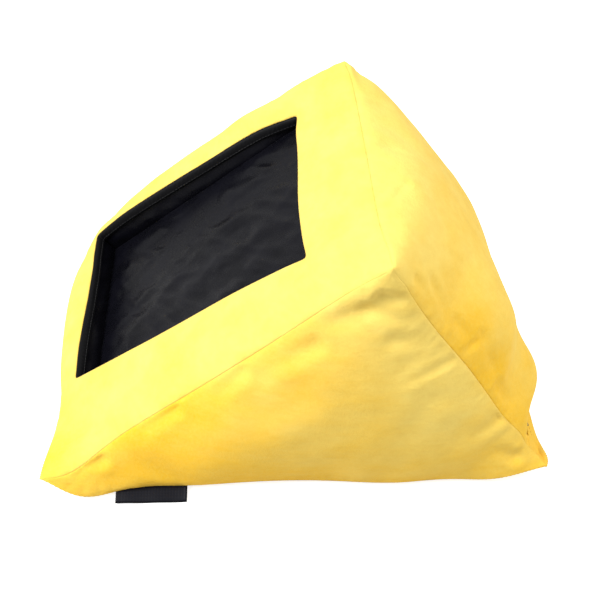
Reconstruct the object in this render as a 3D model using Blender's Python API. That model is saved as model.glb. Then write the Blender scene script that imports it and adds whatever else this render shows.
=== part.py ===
"""Tablet cushion stand: a bead-filled wedge cushion with a lined pocket that a tablet leans in.

X runs along the ridge, Y from the front edge to the back edge and Z up. The base lies at Z = 0, with the
origin at its middle. Lengths are in metres. Right and left are those of a person who faces the pocket.
The zip low on the back is what moves: its slider runs along X and its pull tab swings on the slider.
"""

import math

import bmesh
import bpy
import numpy as np
from mathutils import Matrix, Vector

# Cushion body, measured from corner to corner
BODY_LENGTH = 0.340
BODY_DEPTH = 0.440
BODY_HEIGHT = 0.218
RIDGE_SETBACK = 0.271
END_LEAN = 0.042

# Swell of the stuffed faces, and how far the seams leave the straight line between their corners
FRONT_CROWN = 0.009
BACK_CROWN = 0.037
RIGHT_END_CROWN = 0.024
LEFT_END_CROWN = 0.038
CROWN_FULLNESS = 0.85
SIDE_DRAW_IN = 0.004
BASE_SWELL = 0.006
FRONT_SWELL = 0.006
RIDGE_RISE = 0.002
EAR_SHARPNESS = 6

# Left-hand front ear, which is tucked in along X and Y
EAR_TUCK_X = 0.025
EAR_TUCK_Y = 0.021
EAR_TUCK_REACH = 0.070

# Cloth thicknesses, and the gap kept between touching pieces
COVER_THICKNESS = 0.0016
LINING_THICKNESS = 0.0010
BAG_THICKNESS = 0.0008
GAP = 0.0003

# Window in the front panel, with its side margins measured at the ridge, and the pocket behind it
WINDOW_HEIGHT = 0.255
WINDOW_MARGIN = 0.028
WINDOW_LEFT_MARGIN = 0.025
WINDOW_RIGHT_MARGIN = 0.047
BINDING_DEPTH = 0.008
BINDING_THICKNESS = 0.0012
BINDING_PROUD = 0.0008
POCKET_TOP_DEPTH = 0.011
POCKET_REST_HEIGHT = 0.006
WALL_TOP_CLEARANCE = 0.0007

# Label folded double, held in the seam under the right-hand end
LABEL_WIDTH = 0.060
LABEL_REACH = 0.016
LABEL_PLY = 0.0004
LABEL_FOLD_SPACE = 0.0003
LABEL_FROM_FRONT = 0.092
LABEL_CLEARANCE = 0.0009
LABEL_LIFT = 0.0003
LABEL_FOLD_STEPS = 6

# Zip low on the back panel
ZIP_END_MARGIN = 0.035
ZIP_RISE = 0.024
ZIP_SLOT = 0.011
ZIP_FLAT_BAND = 0.038
TAPE_WIDTH = 0.0094
TAPE_THICKNESS = 0.0006
TAPE_END_CLEARANCE = 0.005
COIL_RADIUS = 0.0009
COIL_SPACING = 0.0028
STOP_LENGTH = 0.003
STOP_THICKNESS = 0.0022

# Zip slider, along the zip, across it and off the tape
SLIDER_LENGTH = 0.011
SLIDER_WIDTH = 0.0092
SLIDER_NOSE_WIDTH = 0.0066
SLIDER_PLATE = 0.0009
SLIDER_FLANGE = 0.0010
SLIDER_WEDGE_THICKNESS = 0.0004
SLIDER_WEDGE_LENGTH = 0.0016
STRAP_SPAN = 0.0080
STRAP_WIDTH = 0.0022
STRAP_THICKNESS = 0.0011

# Pull tab on the slider's strap
PULL_LENGTH = 0.022
PULL_WIDTH = 0.0058
PULL_THICKNESS = 0.0009
PULL_BAR_HALF = 0.00045
PULL_EYE_LENGTH = 0.0046
PULL_EYE_WIDTH = 0.0036
PULL_CLEARANCE = 0.0003

# Opening through which the inner bag is filled, in its underside
FILL_SLIT_LENGTH = 0.090
FILL_SLIT_WIDTH = 0.003

# Grid of the cushion's surface: cells beside, below, over and above the window
SIDE_COLUMNS = 4
WINDOW_COLUMNS = 4
LOWER_ROWS = 2
WINDOW_ROWS = 6
UPPER_ROWS = 4
ROWS = LOWER_ROWS + WINDOW_ROWS + UPPER_ROWS
CUT_MARGIN = 0.010

# Sizes that follow from those above
FRONT_Y = -BODY_DEPTH / 2
BACK_Y = BODY_DEPTH / 2
RIDGE_Y = FRONT_Y + RIDGE_SETBACK
FRONT_SLOPE = math.atan2(BODY_HEIGHT, RIDGE_SETBACK)
BACK_SLOPE = math.atan2(BODY_HEIGHT, BACK_Y - RIDGE_Y)
FRONT_LENGTH = math.hypot(RIDGE_SETBACK, BODY_HEIGHT)
BACK_LENGTH = math.hypot(BACK_Y - RIDGE_Y, BODY_HEIGHT)
WINDOW_LEFT = END_LEAN + WINDOW_LEFT_MARGIN - BODY_LENGTH / 2
WINDOW_RIGHT = BODY_LENGTH / 2 - END_LEAN - WINDOW_RIGHT_MARGIN
WINDOW_TOP = WINDOW_MARGIN + WINDOW_HEIGHT
ZIP_LENGTH = BODY_LENGTH - 2 * ZIP_END_MARGIN
SLOT_LOW = ZIP_RISE - ZIP_SLOT / 2
SLOT_HIGH = ZIP_RISE + ZIP_SLOT / 2
BAG_DEPTH = COVER_THICKNESS + GAP
BAG_INSIDE_DEPTH = BAG_DEPTH + BAG_THICKNESS
FILL_DEPTH = BAG_INSIDE_DEPTH + GAP

# Heights off the zip's tape, which lies behind the cover: the slider's plates, the pull's pin and the strap
TAPE_PLANE = -(COVER_THICKNESS + GAP + TAPE_THICKNESS / 2)
PLATE_INSIDE = COIL_RADIUS + GAP
PLATE_OUTSIDE = PLATE_INSIDE + SLIDER_PLATE
PULL_PIVOT = PLATE_OUTSIDE + PULL_CLEARANCE + math.hypot(PULL_BAR_HALF, PULL_THICKNESS / 2)
STRAP_INSIDE = PULL_PIVOT + math.hypot(PULL_BAR_HALF, PULL_THICKNESS / 2) + PULL_CLEARANCE
STRAP_OUTSIDE = STRAP_INSIDE + STRAP_THICKNESS
CHANNEL_DEPTH = PLATE_OUTSIDE - TAPE_PLANE + GAP
CHANNEL_HALF_WIDTH = COIL_SPACING / 2 + COIL_RADIUS + GAP + TAPE_WIDTH + GAP

FRONT, WINDOW, BACK_LOW, BACK_SLOT, BACK_HIGH, BASE, RIGHT_END, LEFT_END = range(8)
SURFACE_OF = {WINDOW: FRONT, BACK_LOW: BACK_HIGH, BACK_SLOT: BACK_HIGH}


def plane_frame(x_axis, up, origin):
    """A frame with X along the plane, Y up its slope and Z out of it."""
    out = x_axis.cross(up)
    return Matrix.Translation(origin) @ Matrix((x_axis, up, out)).transposed().to_4x4()


FRONT_FRAME = plane_frame(
    Vector((1, 0, 0)),
    Vector((0, math.cos(FRONT_SLOPE), math.sin(FRONT_SLOPE))),
    Vector((0, FRONT_Y, 0)),
)
BACK_FRAME = plane_frame(
    Vector((-1, 0, 0)),
    Vector((0, -math.cos(BACK_SLOPE), math.sin(BACK_SLOPE))),
    Vector((0, BACK_Y, 0)),
)
ZIP_FRAME = BACK_FRAME @ Matrix.Translation((0, ZIP_RISE, TAPE_PLANE))


def clear_scene():
    for old in list(bpy.data.objects):
        bpy.data.objects.remove(old, do_unlink=True)


def new_collection(name):
    collection = bpy.data.collections.new(name)
    bpy.context.scene.collection.children.link(collection)
    return collection


def new_material(name, colour, roughness, metallic=0.0):
    material = bpy.data.materials.new(name)
    material.use_nodes = True
    shader = material.node_tree.nodes["Principled BSDF"]
    shader.inputs["Base Color"].default_value = (*colour, 1)
    shader.inputs["Roughness"].default_value = roughness
    shader.inputs["Metallic"].default_value = metallic
    return material


def add_part(name, data, material, matrix=None):
    """Adds one piece of the cushion under its own name."""
    part = bpy.data.objects.new(name, data)
    part.matrix_world = matrix or Matrix()
    data.materials.append(material)
    PARTS.objects.link(part)
    return part


def add_cutter(name, mesh, matrix=None):
    """Adds a helper shape that Booleans use and that isn't a piece itself."""
    cutter = bpy.data.objects.new(name, mesh)
    cutter.matrix_world = matrix or Matrix()
    cutter.hide_render = True
    cutter.display_type = "WIRE"
    CUTTERS.objects.link(cutter)
    return cutter


def boolean(part, operation, other):
    modifier = part.modifiers.new(other.name, "BOOLEAN")
    modifier.operation = operation
    modifier.object = other
    modifier.solver = "EXACT"


def mesh_from(name, points, faces):
    mesh = bpy.data.meshes.new(name)
    mesh.from_pydata([tuple(point) for point in points], [], faces)
    mesh.update()
    return mesh


def block(name, x_range, y_range, floor, ceiling):
    """A cube drawn out to a block whose floor and ceiling are heights, or functions of y."""
    bm = bmesh.new()
    bmesh.ops.create_cube(bm, size=2)
    for vert in bm.verts:
        y = y_range[vert.co.y > 0]
        height = ceiling if vert.co.z > 0 else floor
        vert.co = (x_range[vert.co.x > 0], y, height(y) if callable(height) else height)
    mesh = bpy.data.meshes.new(name)
    bm.to_mesh(mesh)
    bm.free()
    return mesh


def flat_outline(name, outlines, half_thickness):
    """A flat 2D curve filled between its outlines and extruded both ways."""
    curve = bpy.data.curves.new(name, "CURVE")
    curve.dimensions = "2D"
    curve.fill_mode = "BOTH"
    curve.extrude = half_thickness
    for outline in outlines:
        spline = curve.splines.new("POLY")
        spline.points.add(len(outline) - 1)
        for point, (x, y) in zip(spline.points, outline):
            point.co = (x, y, 0, 1)
        spline.use_cyclic_u = True
    return curve


def rectangle(x0, x1, y0, y1):
    return [(x0, y0), (x1, y0), (x1, y1), (x0, y1)]


# Form of the stuffed cushion


def flare(fraction):
    """1 along the middle of a seam, falling to 0 at the corners, which stick out as soft ears."""
    return 1 - abs(2 * fraction - 1) ** EAR_SHARPNESS


def side_seam_x(height):
    """Half the length of the sloping faces at a height above the base."""
    fraction = height / BODY_HEIGHT
    return BODY_LENGTH / 2 - END_LEAN * fraction - SIDE_DRAW_IN * flare(fraction)


def base_seam_x(fraction):
    """Half the length of the base at a fraction of its depth from the front."""
    return BODY_LENGTH / 2 + BASE_SWELL * flare(fraction)


def tuck(point, weight=1.0):
    """Moves a point near the left-hand front ear in with it."""
    away = (point - Vector((-BODY_LENGTH / 2, FRONT_Y, 0))).length / EAR_TUCK_REACH
    point += Vector((EAR_TUCK_X, EAR_TUCK_Y, 0)) * weight * math.exp(-(away**2))


def front_columns(half):
    """X of the front face's grid lines, two of which are the window's sides."""
    left = np.linspace(-half, WINDOW_LEFT, SIDE_COLUMNS + 1)
    middle = np.linspace(WINDOW_LEFT, WINDOW_RIGHT, WINDOW_COLUMNS + 1)
    right = np.linspace(WINDOW_RIGHT, half, SIDE_COLUMNS + 1)
    return np.concatenate([left, middle[1:], right[1:]])


def front_rows():
    """Points of the front face, whose swell is level over the window and falls to the seams."""
    low = np.linspace(0, WINDOW_MARGIN, LOWER_ROWS + 1)
    middle = np.linspace(WINDOW_MARGIN, WINDOW_TOP, WINDOW_ROWS + 1)
    high = np.linspace(WINDOW_TOP, FRONT_LENGTH, UPPER_ROWS + 1)
    rows = []
    for slope in np.concatenate([low, middle[1:], high[1:]]):
        half = side_seam_x(slope * math.sin(FRONT_SLOPE))
        below = max(0, 1 - slope / WINDOW_MARGIN)
        above = max(0, (slope - WINDOW_TOP) / (FRONT_LENGTH - WINDOW_TOP))
        row = []
        for x in front_columns(half):
            left = max(0, (WINDOW_LEFT - x) / (WINDOW_LEFT + half))
            right = max(0, (x - WINDOW_RIGHT) / (half - WINDOW_RIGHT))
            rise = (1 - max(left, right) ** 2) * (1 - max(below, above) ** 2)
            point = FRONT_FRAME @ Vector((x, slope, FRONT_CROWN * max(0, rise) ** CROWN_FULLNESS))
            along = flare((x + half) / (2 * half))
            point.y -= FRONT_SWELL * along * below**2
            point.z += RIDGE_RISE * along * above**2
            tuck(point, max(left, right, below, above))
            row.append(point)
        rows.append(row)
    return rows


def back_rows(shares_above, shares_below):
    """Points of the back face from the ridge's columns to the base's, flat along the zip."""
    low = [0, SLOT_LOW / 2, SLOT_LOW, SLOT_HIGH, ZIP_FLAT_BAND]
    high = np.linspace(ZIP_FLAT_BAND, BACK_LENGTH, ROWS - len(low) + 2)
    rows = []
    for slope in np.concatenate([low, high[1:]]):
        half = side_seam_x(slope * math.sin(BACK_SLOPE))
        up = slope / BACK_LENGTH
        swell = max(0, (slope - ZIP_FLAT_BAND) / (BACK_LENGTH - ZIP_FLAT_BAND))
        row = []
        for above, below in zip(shares_above, shares_below):
            share = above * up + below * (1 - up)
            rise = 4 * swell * (1 - swell) * (1 - share**2)
            local = Vector((-share * half, slope, BACK_CROWN * max(0, rise) ** CROWN_FULLNESS))
            point = BACK_FRAME @ local
            point.z += RIDGE_RISE * flare((share + 1) / 2) * swell**2
            row.append(point)
        rows.append(row)
    return rows


def base_rows(shares):
    """Points of the flat base, from its front seam to its back seam."""
    rows = []
    for number in range(ROWS + 1):
        fraction = number / ROWS
        row = []
        for share in shares:
            swell = FRONT_SWELL * flare((share + 1) / 2) * (1 - fraction) ** 2
            y = FRONT_Y + BODY_DEPTH * fraction - swell
            point = Vector((share * base_seam_x(fraction), y, 0))
            tuck(point)
            row.append(point)
        rows.append(row)
    return rows


def end_points(front_seam, back_seam, base_seam, crown):
    """Points of a three-cornered end, filled in from its three seams and swollen outwards."""
    front, back, top = base_seam[0], base_seam[-1], front_seam[-1]
    outward = (back - front).cross(top - front).normalized()
    if outward.x * top.x < 0:
        outward = -outward
    points = {}
    for up in range(ROWS + 1):
        for behind in range(ROWS + 1 - up):
            ahead = ROWS - up - behind
            parts = []
            if up < ROWS:
                parts.append((front_seam[up] * ahead + back_seam[up] * behind) / (ahead + behind))
            if ahead < ROWS:
                across = front_seam[ROWS - ahead] * up + base_seam[ROWS - ahead] * behind
                parts.append(across / (up + behind))
            if behind < ROWS:
                across = back_seam[ROWS - behind] * up + base_seam[behind] * ahead
                parts.append(across / (up + ahead))
            flat = (top * up + front * ahead + back * behind) / ROWS
            if len(parts) < 3:
                points[up, behind] = flat
                continue
            rise = 27 * up * ahead * behind / ROWS**3
            swell = outward * crown * rise**CROWN_FULLNESS
            points[up, behind] = (sum(parts, Vector()) - flat) / 2 + swell
    return points


def add_grid(bm, rows, label_of):
    """Adds a grid of points as triangles, each labelled with its panel."""
    verts = [[bm.verts.new(point) for point in row] for row in rows]
    for r in range(len(rows) - 1):
        for c in range(len(rows[0]) - 1):
            a, b = verts[r][c], verts[r][c + 1]
            d, e = verts[r + 1][c], verts[r + 1][c + 1]
            for corners in ((a, b, e), (a, e, d)):
                bm.faces.new(corners).material_index = label_of(r, c)


def add_end(bm, points, label):
    """Adds a three-cornered grid of points as triangles."""
    verts = {key: bm.verts.new(point) for key, point in points.items()}
    for up, behind in points:
        if up + behind < ROWS:
            corners = verts[up, behind], verts[up, behind + 1], verts[up + 1, behind]
            bm.faces.new(corners).material_index = label
        if up + behind < ROWS - 1:
            corners = verts[up, behind + 1], verts[up + 1, behind + 1], verts[up + 1, behind]
            bm.faces.new(corners).material_index = label


def front_label(row, column):
    inside = LOWER_ROWS <= row < LOWER_ROWS + WINDOW_ROWS
    return WINDOW if inside and SIDE_COLUMNS <= column < SIDE_COLUMNS + WINDOW_COLUMNS else FRONT


def back_label(row, _column):
    return (BACK_LOW, BACK_LOW, BACK_SLOT)[row] if row < 3 else BACK_HIGH


def cushion_surface():
    """The whole outer surface: its points, its triangles and each triangle's panel."""
    front = front_rows()
    foot = BODY_LENGTH / 2
    ridge = side_seam_x(BODY_HEIGHT)
    shares = front_columns(foot) / foot
    back = back_rows(front_columns(ridge) / ridge, shares)
    base = base_rows(shares)
    faces_round = (front, back, base)
    right = end_points(*[[row[-1] for row in rows] for rows in faces_round], RIGHT_END_CROWN)
    left = end_points(*[[row[0] for row in rows] for rows in faces_round], LEFT_END_CROWN)
    bm = bmesh.new()
    add_grid(bm, front, front_label)
    add_grid(bm, back, back_label)
    add_grid(bm, base, lambda row, column: BASE)
    add_end(bm, right, RIGHT_END)
    add_end(bm, left, LEFT_END)
    bmesh.ops.remove_doubles(bm, verts=bm.verts, dist=GAP / 10)
    bmesh.ops.recalc_face_normals(bm, faces=bm.faces)
    bm.verts.index_update()
    points = [vert.co.copy() for vert in bm.verts]
    faces = [[vert.index for vert in face.verts] for face in bm.faces]
    labels = [face.material_index for face in bm.faces]
    bm.free()
    return points, faces, labels


def surface_normals(points, faces, labels):
    """For each point, its normal on each of the panels that meet there."""
    normals = [{} for _ in points]
    for face, label in zip(faces, labels):
        a, b, c = (points[index] for index in face)
        area = (b - a).cross(c - a)
        surface = SURFACE_OF.get(label, label)
        for index in face:
            normals[index][surface] = normals[index].get(surface, Vector()) + area
    return [{key: value.normalized() for key, value in found.items()} for found in normals]


def inward_step(normals):
    """The step that goes one unit in from each panel that meets at a point, so layers are mitred."""
    rows = np.array([tuple(normal) for normal in normals.values()])
    step, *_ = np.linalg.lstsq(rows, np.ones(len(rows)), rcond=None)
    return -Vector(step)


def seam_gap(surface, normals):
    """The step along a panel that opens half the gap to each panel it meets at a point."""
    own = normals[surface]
    step = Vector()
    for key, other in normals.items():
        if key != surface:
            along = (other.dot(own) * own - other).normalized()
            mitre = (own - other).normalized()
            step += along * (GAP / 2) / along.dot(mitre)
    return step


class Cushion:
    """The outer surface, from which panels and inner layers are taken at any depth."""

    def __init__(self):
        self.points, self.faces, self.labels = cushion_surface()
        self.normals = surface_normals(self.points, self.faces, self.labels)
        self.steps = [inward_step(found) for found in self.normals]

    def layer(self, name, depth):
        """The closed surface at a depth below the outer one."""
        points = [point + step * depth for point, step in zip(self.points, self.steps)]
        return mesh_from(name, points, self.faces)

    def panel(self, name, label, thickness):
        """One cloth panel, with mitred edges that stop short of its neighbours."""
        faces = [face for face, own in zip(self.faces, self.labels) if own == label]
        used = sorted({index for face in faces for index in face})
        place = {index: number for number, index in enumerate(used)}
        surface = SURFACE_OF.get(label, label)
        outer = [self.points[i] + seam_gap(surface, self.normals[i]) for i in used]
        inner = [point + self.steps[i] * thickness for point, i in zip(outer, used)]
        top = [[place[index] for index in face] for face in faces]
        count = len(used)
        under = [[index + count for index in reversed(face)] for face in top]
        ways = {(face[k], face[(k + 1) % 3]) for face in top for k in range(3)}
        rims = []
        for start, end in sorted(ways):
            if (end, start) in ways:
                continue
            # Neighbours split a shared rim along the same diagonal, so their edges stay parallel
            if start < end:
                rims += [[start, start + count, end + count], [end, start, end + count]]
            else:
                rims += [[end, start, start + count], [end, start + count, end + count]]
        return mesh_from(name, outer + inner, top + under + rims)


# Cover, pocket and filling


def add_cover(cushion, material):
    names = {
        "front_panel": FRONT,
        "back_panel": BACK_HIGH,
        "back_lower_strip": BACK_LOW,
        "base_panel": BASE,
        "right_end_panel": RIGHT_END,
        "left_end_panel": LEFT_END,
    }
    for name, label in names.items():
        mesh = cushion.panel(name, label, COVER_THICKNESS)
        add_part(name, mesh, material).data.shade_smooth()


def bed_height(slope):
    """Height of the pocket bed's top above the front face's plane, at a distance up the slope."""
    lowest = POCKET_REST_HEIGHT - WINDOW_MARGIN * math.sin(FRONT_SLOPE)
    bottom = lowest / math.cos(FRONT_SLOPE)
    top = FRONT_CROWN - POCKET_TOP_DEPTH
    return bottom + (top - bottom) * (slope - WINDOW_MARGIN) / WINDOW_HEIGHT


def bed_underside(slope):
    return bed_height(slope) - LINING_THICKNESS


def add_pocket(material, binding_material):
    """The bed that the tablet leans on, the four walls round it and the binding round the window."""
    left, right = WINDOW_LEFT, WINDOW_RIGHT
    low, high = WINDOW_MARGIN, WINDOW_TOP
    ply = LINING_THICKNESS
    wall_top = FRONT_CROWN - COVER_THICKNESS - WALL_TOP_CLEARANCE
    full = (low - ply, high + ply)
    between = (left + GAP, right - GAP)
    bed = block("pocket_bed", between, (low + GAP, high - GAP), bed_underside, bed_height)
    add_part("pocket_bed", bed, material, FRONT_FRAME)
    walls = {
        "pocket_left_wall": ((left - ply, left), full),
        "pocket_right_wall": ((right, right + ply), full),
        "pocket_bottom_wall": (between, (low - ply, low)),
        "pocket_top_wall": (between, (high, high + ply)),
    }
    for name, (x_range, slope_range) in walls.items():
        wall = block(name, x_range, slope_range, bed_underside, wall_top)
        add_part(name, wall, material, FRONT_FRAME)
    hem = GAP + BINDING_THICKNESS
    outer = rectangle(left + GAP, right - GAP, low + GAP, high - GAP)
    inner = rectangle(left + hem, right - hem, low + hem, high - hem)
    half_height = (BINDING_DEPTH + BINDING_PROUD) / 2
    binding = flat_outline("window_binding", [outer, inner], half_height)
    middle = FRONT_CROWN + BINDING_PROUD - half_height
    place = FRONT_FRAME @ Matrix.Translation((0, 0, middle))
    add_part("window_binding", binding, binding_material, place)


def pocket_cutter(name, clearance):
    """The space of the pocket and its lining, widened by a clearance."""
    out = LINING_THICKNESS + clearance
    mesh = block(
        name,
        (WINDOW_LEFT - out, WINDOW_RIGHT + out),
        (WINDOW_MARGIN - out, WINDOW_TOP + out),
        lambda slope: bed_underside(slope) - clearance,
        FRONT_CROWN + CUT_MARGIN,
    )
    return add_cutter(name, mesh, FRONT_FRAME)


def zip_cutter(name, clearance):
    """The channel behind the zip and down to the seam below it, widened by a clearance."""
    mesh = block(
        name,
        (-BODY_LENGTH / 2, BODY_LENGTH / 2),
        (-CUT_MARGIN, ZIP_RISE + CHANNEL_HALF_WIDTH + clearance),
        -CHANNEL_DEPTH - clearance,
        CUT_MARGIN,
    )
    return add_cutter(name, mesh, BACK_FRAME)


def add_filling(cushion, bag_material, bead_material):
    """The inner bag, open at its filling slit, and the beads inside it."""
    clearances = {"outside": GAP, "inside": GAP + BAG_THICKNESS, "beads": BAG_THICKNESS + 2 * GAP}
    inside = add_cutter("bag_inside", cushion.layer("bag_inside", BAG_INSIDE_DEPTH))
    bag = add_part("inner_bag", cushion.layer("inner_bag", BAG_DEPTH), bag_material)
    beads = add_part("bead_filling", cushion.layer("bead_filling", FILL_DEPTH), bead_material)
    for part, place in ((inside, "inside"), (bag, "outside"), (beads, "beads")):
        boolean(part, "DIFFERENCE", pocket_cutter(f"pocket_{place}", clearances[place]))
        boolean(part, "DIFFERENCE", zip_cutter(f"zip_{place}", clearances[place]))
    boolean(bag, "DIFFERENCE", inside)
    slit = block(
        "fill_slit",
        (-FILL_SLIT_LENGTH / 2, FILL_SLIT_LENGTH / 2),
        (-FILL_SLIT_WIDTH / 2, FILL_SLIT_WIDTH / 2),
        COVER_THICKNESS,
        FILL_DEPTH,
    )
    place = Matrix.Translation((0, RIDGE_Y, 0))
    boolean(bag, "DIFFERENCE", add_cutter("fill_slit", slit, place))


def add_label(material):
    """The label, a strip folded double whose cut ends are held in the seam."""
    middle = FRONT_Y + LABEL_FROM_FRONT
    reach = []
    for side in (-1, 1):
        fraction = (middle + side * LABEL_WIDTH / 2 - FRONT_Y) / BODY_DEPTH
        reach.append(base_seam_x(fraction))
    height = 2 * LABEL_PLY + LABEL_FOLD_SPACE
    fold_x = LABEL_REACH - height / 2
    outline = [(0, 0)]
    inline = [(0, LABEL_PLY)]
    for number in range(LABEL_FOLD_STEPS + 1):
        angle = math.pi * (number / LABEL_FOLD_STEPS - 0.5)
        for points, radius in ((outline, height / 2), (inline, LABEL_FOLD_SPACE / 2)):
            points.append((fold_x + radius * math.cos(angle), height / 2 + radius * math.sin(angle)))
    outline.append((0, height))
    inline.append((0, height - LABEL_PLY))
    curve = flat_outline("label_tab", [outline + inline[::-1]], LABEL_WIDTH / 2)
    place = Matrix.Translation((max(reach) + LABEL_CLEARANCE, middle, LABEL_LIFT))
    add_part("label_tab", curve, material, place @ Matrix.Rotation(math.pi / 2, 4, "X"))


# Zip


def add_zip_band(tape_material, stop_material):
    """Two tapes behind the slot, a coil along each and a stop at either end."""
    reach = side_seam_x(SLOT_LOW * math.sin(BACK_SLOPE)) - TAPE_END_CLEARANCE
    edge = COIL_SPACING / 2 + COIL_RADIUS + GAP
    for name, side in (("upper", 1), ("lower", -1)):
        across = sorted((side * edge, side * (edge + TAPE_WIDTH)))
        tape = block(f"zip_tape_{name}", (-reach, reach), across, -TAPE_THICKNESS / 2, TAPE_THICKNESS / 2)
        add_part(f"zip_tape_{name}", tape, tape_material, ZIP_FRAME)
        coil = bpy.data.curves.new(f"zip_coil_{name}", "CURVE")
        coil.dimensions = "3D"
        coil.bevel_depth = COIL_RADIUS
        coil.bevel_resolution = 1
        coil.use_fill_caps = True
        spline = coil.splines.new("POLY")
        spline.points.add(1)
        for point, end in zip(spline.points, (-1, 1)):
            point.co = (end * ZIP_LENGTH / 2, 0, 0, 1)
        place = ZIP_FRAME @ Matrix.Translation((0, side * COIL_SPACING / 2, 0))
        add_part(f"zip_coil_{name}", coil, tape_material, place)
    half_width = COIL_SPACING / 2 + COIL_RADIUS
    across = (-half_width, half_width)
    for name, side in (("open", 1), ("closed", -1)):
        near = ZIP_LENGTH / 2 + GAP
        along = sorted((side * near, side * (near + STOP_LENGTH)))
        stop = block(f"zip_{name}_end_stop", along, across, -STOP_THICKNESS / 2, STOP_THICKNESS / 2)
        add_part(f"zip_{name}_end_stop", stop, stop_material, ZIP_FRAME)


def slider_plate_outline():
    """A plate with a narrower nose, which points at the zip's closed end."""
    tail, nose = SLIDER_LENGTH / 2, -SLIDER_LENGTH / 2
    shoulder = nose + SLIDER_LENGTH / 4
    wide, narrow = SLIDER_WIDTH / 2, SLIDER_NOSE_WIDTH / 2
    return [(tail, -wide), (tail, wide), (shoulder, wide), (nose, narrow), (nose, -narrow), (shoulder, -wide)]


def prism(name, outline, floor, ceiling):
    """An outline raised between two heights."""
    bm = bmesh.new()
    face = bm.faces.new([bm.verts.new((x, y, floor)) for x, y in outline])
    raised = bmesh.ops.extrude_face_region(bm, geom=[face])["geom"]
    verts = [item for item in raised if isinstance(item, bmesh.types.BMVert)]
    bmesh.ops.translate(bm, verts=verts, vec=(0, 0, ceiling - floor))
    bmesh.ops.recalc_face_normals(bm, faces=bm.faces)
    mesh = bpy.data.meshes.new(name)
    bm.to_mesh(mesh)
    bm.free()
    return mesh


def add_slider(material):
    """Two plates joined by a wedge between the coils, with flanges and a strap for the pull."""
    rest = ZIP_FRAME @ Matrix.Translation((-(ZIP_LENGTH - SLIDER_LENGTH) / 2, 0, 0))
    plate = prism("zip_slider", slider_plate_outline(), PLATE_INSIDE, PLATE_OUTSIDE)
    slider = add_part("zip_slider", plate, material, rest)
    nose, tail = -SLIDER_LENGTH / 2, SLIDER_LENGTH / 2
    shoulder = nose + SLIDER_LENGTH / 4
    wide = SLIDER_WIDTH / 2
    tape_side = TAPE_THICKNESS / 2 + GAP
    shapes = {"plate": prism("plate", slider_plate_outline(), -PLATE_OUTSIDE, -PLATE_INSIDE)}
    for name, side in (("upper", 1), ("lower", -1)):
        across = sorted((side * (wide - SLIDER_FLANGE), side * wide))
        for level, floor, ceiling in (
            ("out", tape_side, PLATE_OUTSIDE),
            ("in", -PLATE_OUTSIDE, -tape_side),
        ):
            key = f"flange_{name}_{level}"
            shapes[key] = block(key, (shoulder, tail), across, floor, ceiling)
    wedge = SLIDER_WEDGE_THICKNESS / 2
    wedge_end = nose + SLIDER_WEDGE_LENGTH
    shapes["wedge"] = block("wedge", (nose, wedge_end), (-wedge, wedge), -PLATE_OUTSIDE, PLATE_OUTSIDE)
    across = (-STRAP_WIDTH / 2, STRAP_WIDTH / 2)
    half = STRAP_SPAN / 2
    shapes["strap"] = block("strap", (-half, half), across, STRAP_INSIDE, STRAP_OUTSIDE)
    for name, ends in (("nose", (-half, -half + STRAP_THICKNESS)), ("tail", (half - STRAP_THICKNESS, half))):
        shapes[f"post_{name}"] = block(f"post_{name}", ends, across, PLATE_INSIDE, STRAP_OUTSIDE)
    for name, mesh in shapes.items():
        boolean(slider, "UNION", add_cutter(f"slider_{name}", mesh, rest))
    return rest


def add_pull(rest, material):
    """The pull tab, whose origin is the pin that it swings on under the strap."""
    half_width = PULL_WIDTH / 2
    corner = half_width / 2
    outer = [
        (-PULL_BAR_HALF, -half_width),
        (PULL_LENGTH - corner, -half_width),
        (PULL_LENGTH, -half_width + corner),
        (PULL_LENGTH, half_width - corner),
        (PULL_LENGTH - corner, half_width),
        (-PULL_BAR_HALF, half_width),
    ]
    eye_end = PULL_BAR_HALF + PULL_EYE_LENGTH
    eye = rectangle(PULL_BAR_HALF, eye_end, -PULL_EYE_WIDTH / 2, PULL_EYE_WIDTH / 2)
    pull = flat_outline("zip_pull_tab", [outer, eye], PULL_THICKNESS / 2)
    add_part("zip_pull_tab", pull, material, rest @ Matrix.Translation((0, 0, PULL_PIVOT)))


clear_scene()
PARTS = new_collection("tablet_cushion_stand")
CUTTERS = new_collection("cutters")
SUEDE = new_material("yellow_suede_cloth", (0.96, 0.74, 0.10), 0.85)
LINING = new_material("black_lining_cloth", (0.012, 0.012, 0.016), 0.35)
BINDING = new_material("black_binding", (0.010, 0.010, 0.013), 0.40)
LABEL = new_material("dark_label_ribbon", (0.010, 0.012, 0.020), 0.60)
BAG = new_material("white_bag_cloth", (0.80, 0.80, 0.78), 0.90)
BEADS = new_material("white_foam_beads", (0.90, 0.90, 0.90), 0.80)
ZIP = new_material("yellow_zip_nylon", (0.90, 0.66, 0.10), 0.55)
METAL = new_material("zip_metal", (0.62, 0.62, 0.62), 0.35, 1.0)

CUSHION = Cushion()
add_cover(CUSHION, SUEDE)
add_pocket(LINING, BINDING)
add_filling(CUSHION, BAG, BEADS)
add_label(LABEL)
add_zip_band(ZIP, METAL)
add_pull(add_slider(METAL), METAL)
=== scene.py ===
"""Looks of the tablet cushion stand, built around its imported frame."""

import math

import bmesh
import bpy
import numpy as np
from mathutils import Matrix, Vector, noise
from mathutils.bvhtree import BVHTree
from mathutils.kdtree import KDTree


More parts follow.
